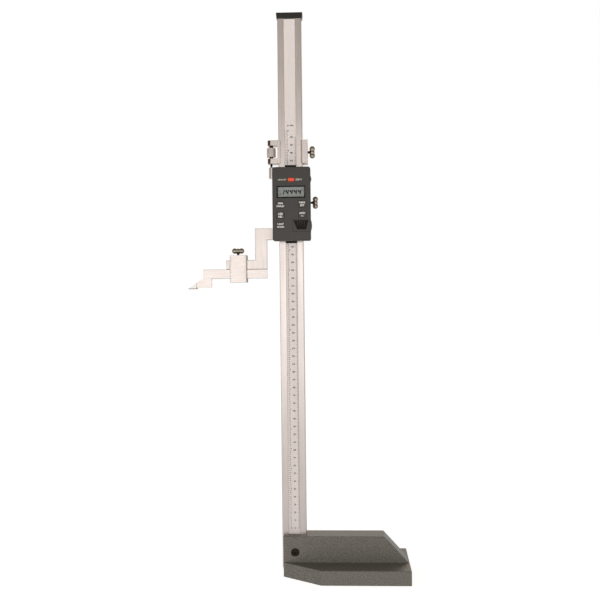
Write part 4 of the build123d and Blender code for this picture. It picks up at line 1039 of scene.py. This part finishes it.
class GAUGE_OT_fine_feed(Operator):
    """Knurl the fine-feed nut and thread its rod"""

    bl_idname = "gauge.fine_feed"
    bl_label = "Cut the Fine Feed"

    def execute(self, context):
        hardware = context.scene.gauge_hardware
        self.drum(hardware.nut_teeth, hardware.nut_depth)
        self.hub()
        self.rod(hardware.rod_pitch)
        return {"FINISHED"}

    def drum(self, teeth, depth):
        """Straight knurl: of the four columns of points in each tooth, two go in."""
        low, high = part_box("fine_nut")
        radius = (high.x - low.x) / 2
        side = [(radius - DRUM_EDGE, DRUM_HALF), (radius, DRUM_HALF - DRUM_EDGE)]
        side.append((radius, DRUM_HALF - DRUM_EDGE - HAIR))
        nut = turned(
            [(NUT_BORE, -DRUM_HALF)] + [(r, -z) for r, z in side] + side[::-1]
            + [(NUT_BORE, DRUM_HALF)],
            segments=teeth * 4,
        )
        for vertex in nut.data.vertices:
            out = math.hypot(vertex.co.x, vertex.co.y)
            turn = math.atan2(vertex.co.y, vertex.co.x) / (2 * math.pi)
            if out > radius - HAIR and round(turn * teeth * 4) % 4 in (1, 2):
                vertex.co.x *= 1 - depth / out
                vertex.co.y *= 1 - depth / out
        smooth(nut, 30)
        nut.data.transform(Matrix.Translation(middle("fine_nut")))
        adopt(nut, "fine_nut_knurled", "fine_nut", "nut_steel", ["fine_nut"])

    def hub(self):
        low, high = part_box("fine_nut")
        half = (high.z - low.z) / 2
        inner = HUB_RADIUS - HUB_EDGE
        hub = turned(
            [(NUT_BORE, -half), (inner, -half), (HUB_RADIUS, HUB_EDGE - half),
             (HUB_RADIUS, half - HUB_EDGE), (inner, half), (NUT_BORE, half)],
            segments=32,
        )
        smooth(hub, 30)
        hub.data.transform(Matrix.Translation(middle("fine_nut")))
        adopt(hub, "fine_nut_hub", "fine_nut", "black_steel")

    def rod(self, pitch):
        low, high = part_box("fine_rod")
        length = high.z - low.z
        foot, end = ROD_PLAIN
        rod = turned(
            [*ROD_FOOT, *thread_profile(foot, length - end, ROD_RADIUS, pitch, ROD_DEPTH),
             (ROD_END, length)],
            segments=20,
        )
        smooth(rod, 20)
        centre = middle("fine_rod")
        rod.data.transform(Matrix.Translation((centre.x, centre.y, low.z)))
        adopt(rod, "fine_rod_threaded", "slider", "dark_steel_and_painted_shade", ["fine_rod"])


# ---- studio
# spans of a direction's part forward, across or up over which the room changes
SIDE_SPAN = (-0.5, 0.5)
FRONT_SPAN = (-0.95, -0.55)
BACK_SPAN = (-0.1, 0.5)
OVERHEAD_SPAN = (0.05, 0.45)


class Room:
    """World whose brightness is worked out from the direction of each ray."""

    def __init__(self):
        self.world = bpy.data.worlds.new("room")
        self.world.use_nodes = True
        self.tree = self.world.node_tree
        self.background = self.tree.nodes["Background"]
        self.background.inputs["Color"].default_value = (1, 1, 1, 1)
        self.path = self.tree.nodes.new("ShaderNodeLightPath")
        split = self.tree.nodes.new("ShaderNodeSeparateXYZ")
        direction = self.tree.nodes.new("ShaderNodeTexCoord").outputs["Generated"]
        self.tree.links.new(direction, split.inputs["Vector"])
        self.across = split.outputs["X"]
        self.forward = split.outputs["Y"]
        self.up = split.outputs["Z"]

    def math(self, operation, *values):
        """Chain of maths nodes; each value is a socket or a number."""
        result = values[0]
        for following in values[1:]:
            made = self.tree.nodes.new("ShaderNodeMath")
            made.operation = operation
            for socket, value in zip(made.inputs, (result, following)):
                if isinstance(value, (int, float)):
                    socket.default_value = value
                else:
                    self.tree.links.new(value, socket)
            result = made.outputs[0]
        return result

    def between(self, value, start, end, low, high):
        return map_range(self.tree, value, start, end, low, high)

    def tint(self, factor, colour):
        """Light that goes from white to the colour with the factor."""
        mix = self.tree.nodes.new("ShaderNodeMix")
        mix.data_type = "RGBA"
        mix.inputs["A"].default_value = (1, 1, 1, 1)
        mix.inputs["B"].default_value = (*linear(colour), 1)
        self.tree.links.new(factor, mix.inputs["Factor"])
        self.tree.links.new(mix.outputs["Result"], self.background.inputs["Color"])

    def light(self, studio):
        """White where it is seen, soft light from the front, and dim sides for polished metal."""
        ray = self.path.outputs
        seen = self.math("MAXIMUM", ray["Is Camera Ray"], ray["Is Transmission Ray"])
        height = self.math("POWER", self.between(self.up, 0, 1, 0, 1), studio.horizon)
        falloff = self.math("SUBTRACT", 1.0, height)
        soft = self.between(self.forward, -1, 1, studio.front_light, studio.back_light)
        diffuse = self.math("MULTIPLY", soft, falloff)
        sides = self.between(self.across, *SIDE_SPAN, studio.left_side, studio.right_side)
        aim = self.math("ADD", self.forward, self.math("MULTIPLY", self.across, studio.lean))
        front = self.math("MULTIPLY", self.between(aim, *FRONT_SPAN, 1, 0), studio.behind)
        back = self.between(self.forward, *BACK_SPAN, 0, 1)
        polished = self.math("MAXIMUM", sides, front, back)
        strength = self.math(
            "MAXIMUM", seen,
            self.math("MULTIPLY", ray["Is Diffuse Ray"], diffuse),
            self.math("MULTIPLY", ray["Is Glossy Ray"], polished),
        )
        self.tree.links.new(strength, self.background.inputs["Strength"])
        above = self.between(self.up, *OVERHEAD_SPAN, 0, 1)
        self.tint(self.math("MULTIPLY", above, self.math("SUBTRACT", 1.0, seen)), studio.overhead)
        bpy.context.scene.world = self.world


def lamp(name, place, target, size, power):
    """Soft rectangular lamp aimed at a point."""
    data = bpy.data.lights.new(name, "AREA")
    data.shape = "RECTANGLE"
    data.size, data.size_y = size
    data.energy = power
    made = bpy.data.objects.new(name, data)
    bpy.context.scene.collection.objects.link(made)
    made.location = place
    made.rotation_euler = (target - place).to_track_quat("-Z", "Y").to_euler()


FLOOR_SIZE = 12.0
FLOOR_COLOUR = (0.92, 0.92, 0.92)
SOFTBOX_PLACE = Vector((-0.1, -2.4, 0.42))
SOFTBOX_TARGET = Vector((-0.1, 0.0, 0.42))


def lay_floor(studio):
    """White floor that keeps the shadows; metal sees it as a dimmer table."""
    clear_selection()
    bpy.ops.mesh.primitive_plane_add(size=FLOOR_SIZE, location=(0, 0, 0))
    floor = bpy.context.object
    floor.name = "studio_floor"
    finish = Finish("studio_floor", FLOOR_COLOUR, roughness=0.95)

    def glow(strength):
        return finish.node("ShaderNodeEmission", Strength=strength).outputs["Emission"]

    ray = finish.node("ShaderNodeLightPath").outputs
    lit = finish.add(finish.shader.outputs["BSDF"], glow(studio.floor_light))
    seen = finish.mix(ray["Is Camera Ray"], lit, finish.add(lit, glow(studio.floor_white)))
    shown = finish.mix(ray["Is Glossy Ray"], seen, glow(studio.table))
    finish.link(shown, finish.tree.nodes["Material Output"].inputs["Surface"])
    floor.data.materials.append(finish.material)


def place_camera(studio):
    data = bpy.data.cameras.new("camera")
    data.lens = studio.lens
    data.sensor_width = SENSOR
    camera = bpy.data.objects.new("camera", data)
    bpy.context.scene.collection.objects.link(camera)
    turn, tilt, roll = studio.turn
    camera.matrix_world = (
        Matrix.Translation(studio.place)
        @ Matrix.Rotation(turn, 4, "Z")
        @ Matrix.Rotation(math.pi / 2 - tilt, 4, "X")
        @ Matrix.Rotation(roll, 4, "Z")
    )
    bpy.context.scene.camera = camera


class GAUGE_OT_studio(Operator):
    """Set up the room, the floor, the lamp and the camera"""

    bl_idname = "gauge.studio"
    bl_label = "Set Up the Studio"

    def execute(self, context):
        studio = context.scene.gauge_studio
        context.scene.view_settings.view_transform = "Standard"
        Room().light(studio)
        lay_floor(studio)
        wide, tall = studio.softbox
        power = studio.softbox_level * wide * tall
        lamp("front_softbox", SOFTBOX_PLACE, SOFTBOX_TARGET, (wide, tall), power)
        place_camera(studio)
        return {"FINISHED"}


class GAUGE_PT_panel(Panel):
    """Buttons for each step of the gauge"""

    bl_idname = "GAUGE_PT_panel"
    bl_label = "Height Gauge"
    bl_space_type = "VIEW_3D"
    bl_region_type = "UI"
    bl_category = "Height Gauge"

    def draw(self, context):
        for step in STEPS:
            self.layout.operator(step.bl_idname)
        for name, group in SETTINGS.items():
            box = self.layout.box()
            for setting in group.__annotations__:
                box.prop(getattr(context.scene, name), setting)


STEPS = (
    GAUGE_OT_finish,
    GAUGE_OT_soften,
    GAUGE_OT_scriber_tip,
    GAUGE_OT_battery_grip,
    GAUGE_OT_scale,
    GAUGE_OT_display,
    GAUGE_OT_legends,
    GAUGE_OT_lock_screws,
    GAUGE_OT_fine_feed,
    GAUGE_OT_studio,
)


def register():
    for group in (*SETTINGS.values(), *STEPS, GAUGE_PT_panel):
        bpy.utils.register_class(group)
    for name, group in SETTINGS.items():
        setattr(bpy.types.Scene, name, PointerProperty(type=group))


def unregister():
    for name in SETTINGS:
        delattr(bpy.types.Scene, name)
    for group in reversed((*SETTINGS.values(), *STEPS, GAUGE_PT_panel)):
        bpy.utils.unregister_class(group)


def main():
    register()
    for step in STEPS:
        space, verb = step.bl_idname.split(".")
        getattr(getattr(bpy.ops, space), verb)()


if __name__ == "__main__":
    main()
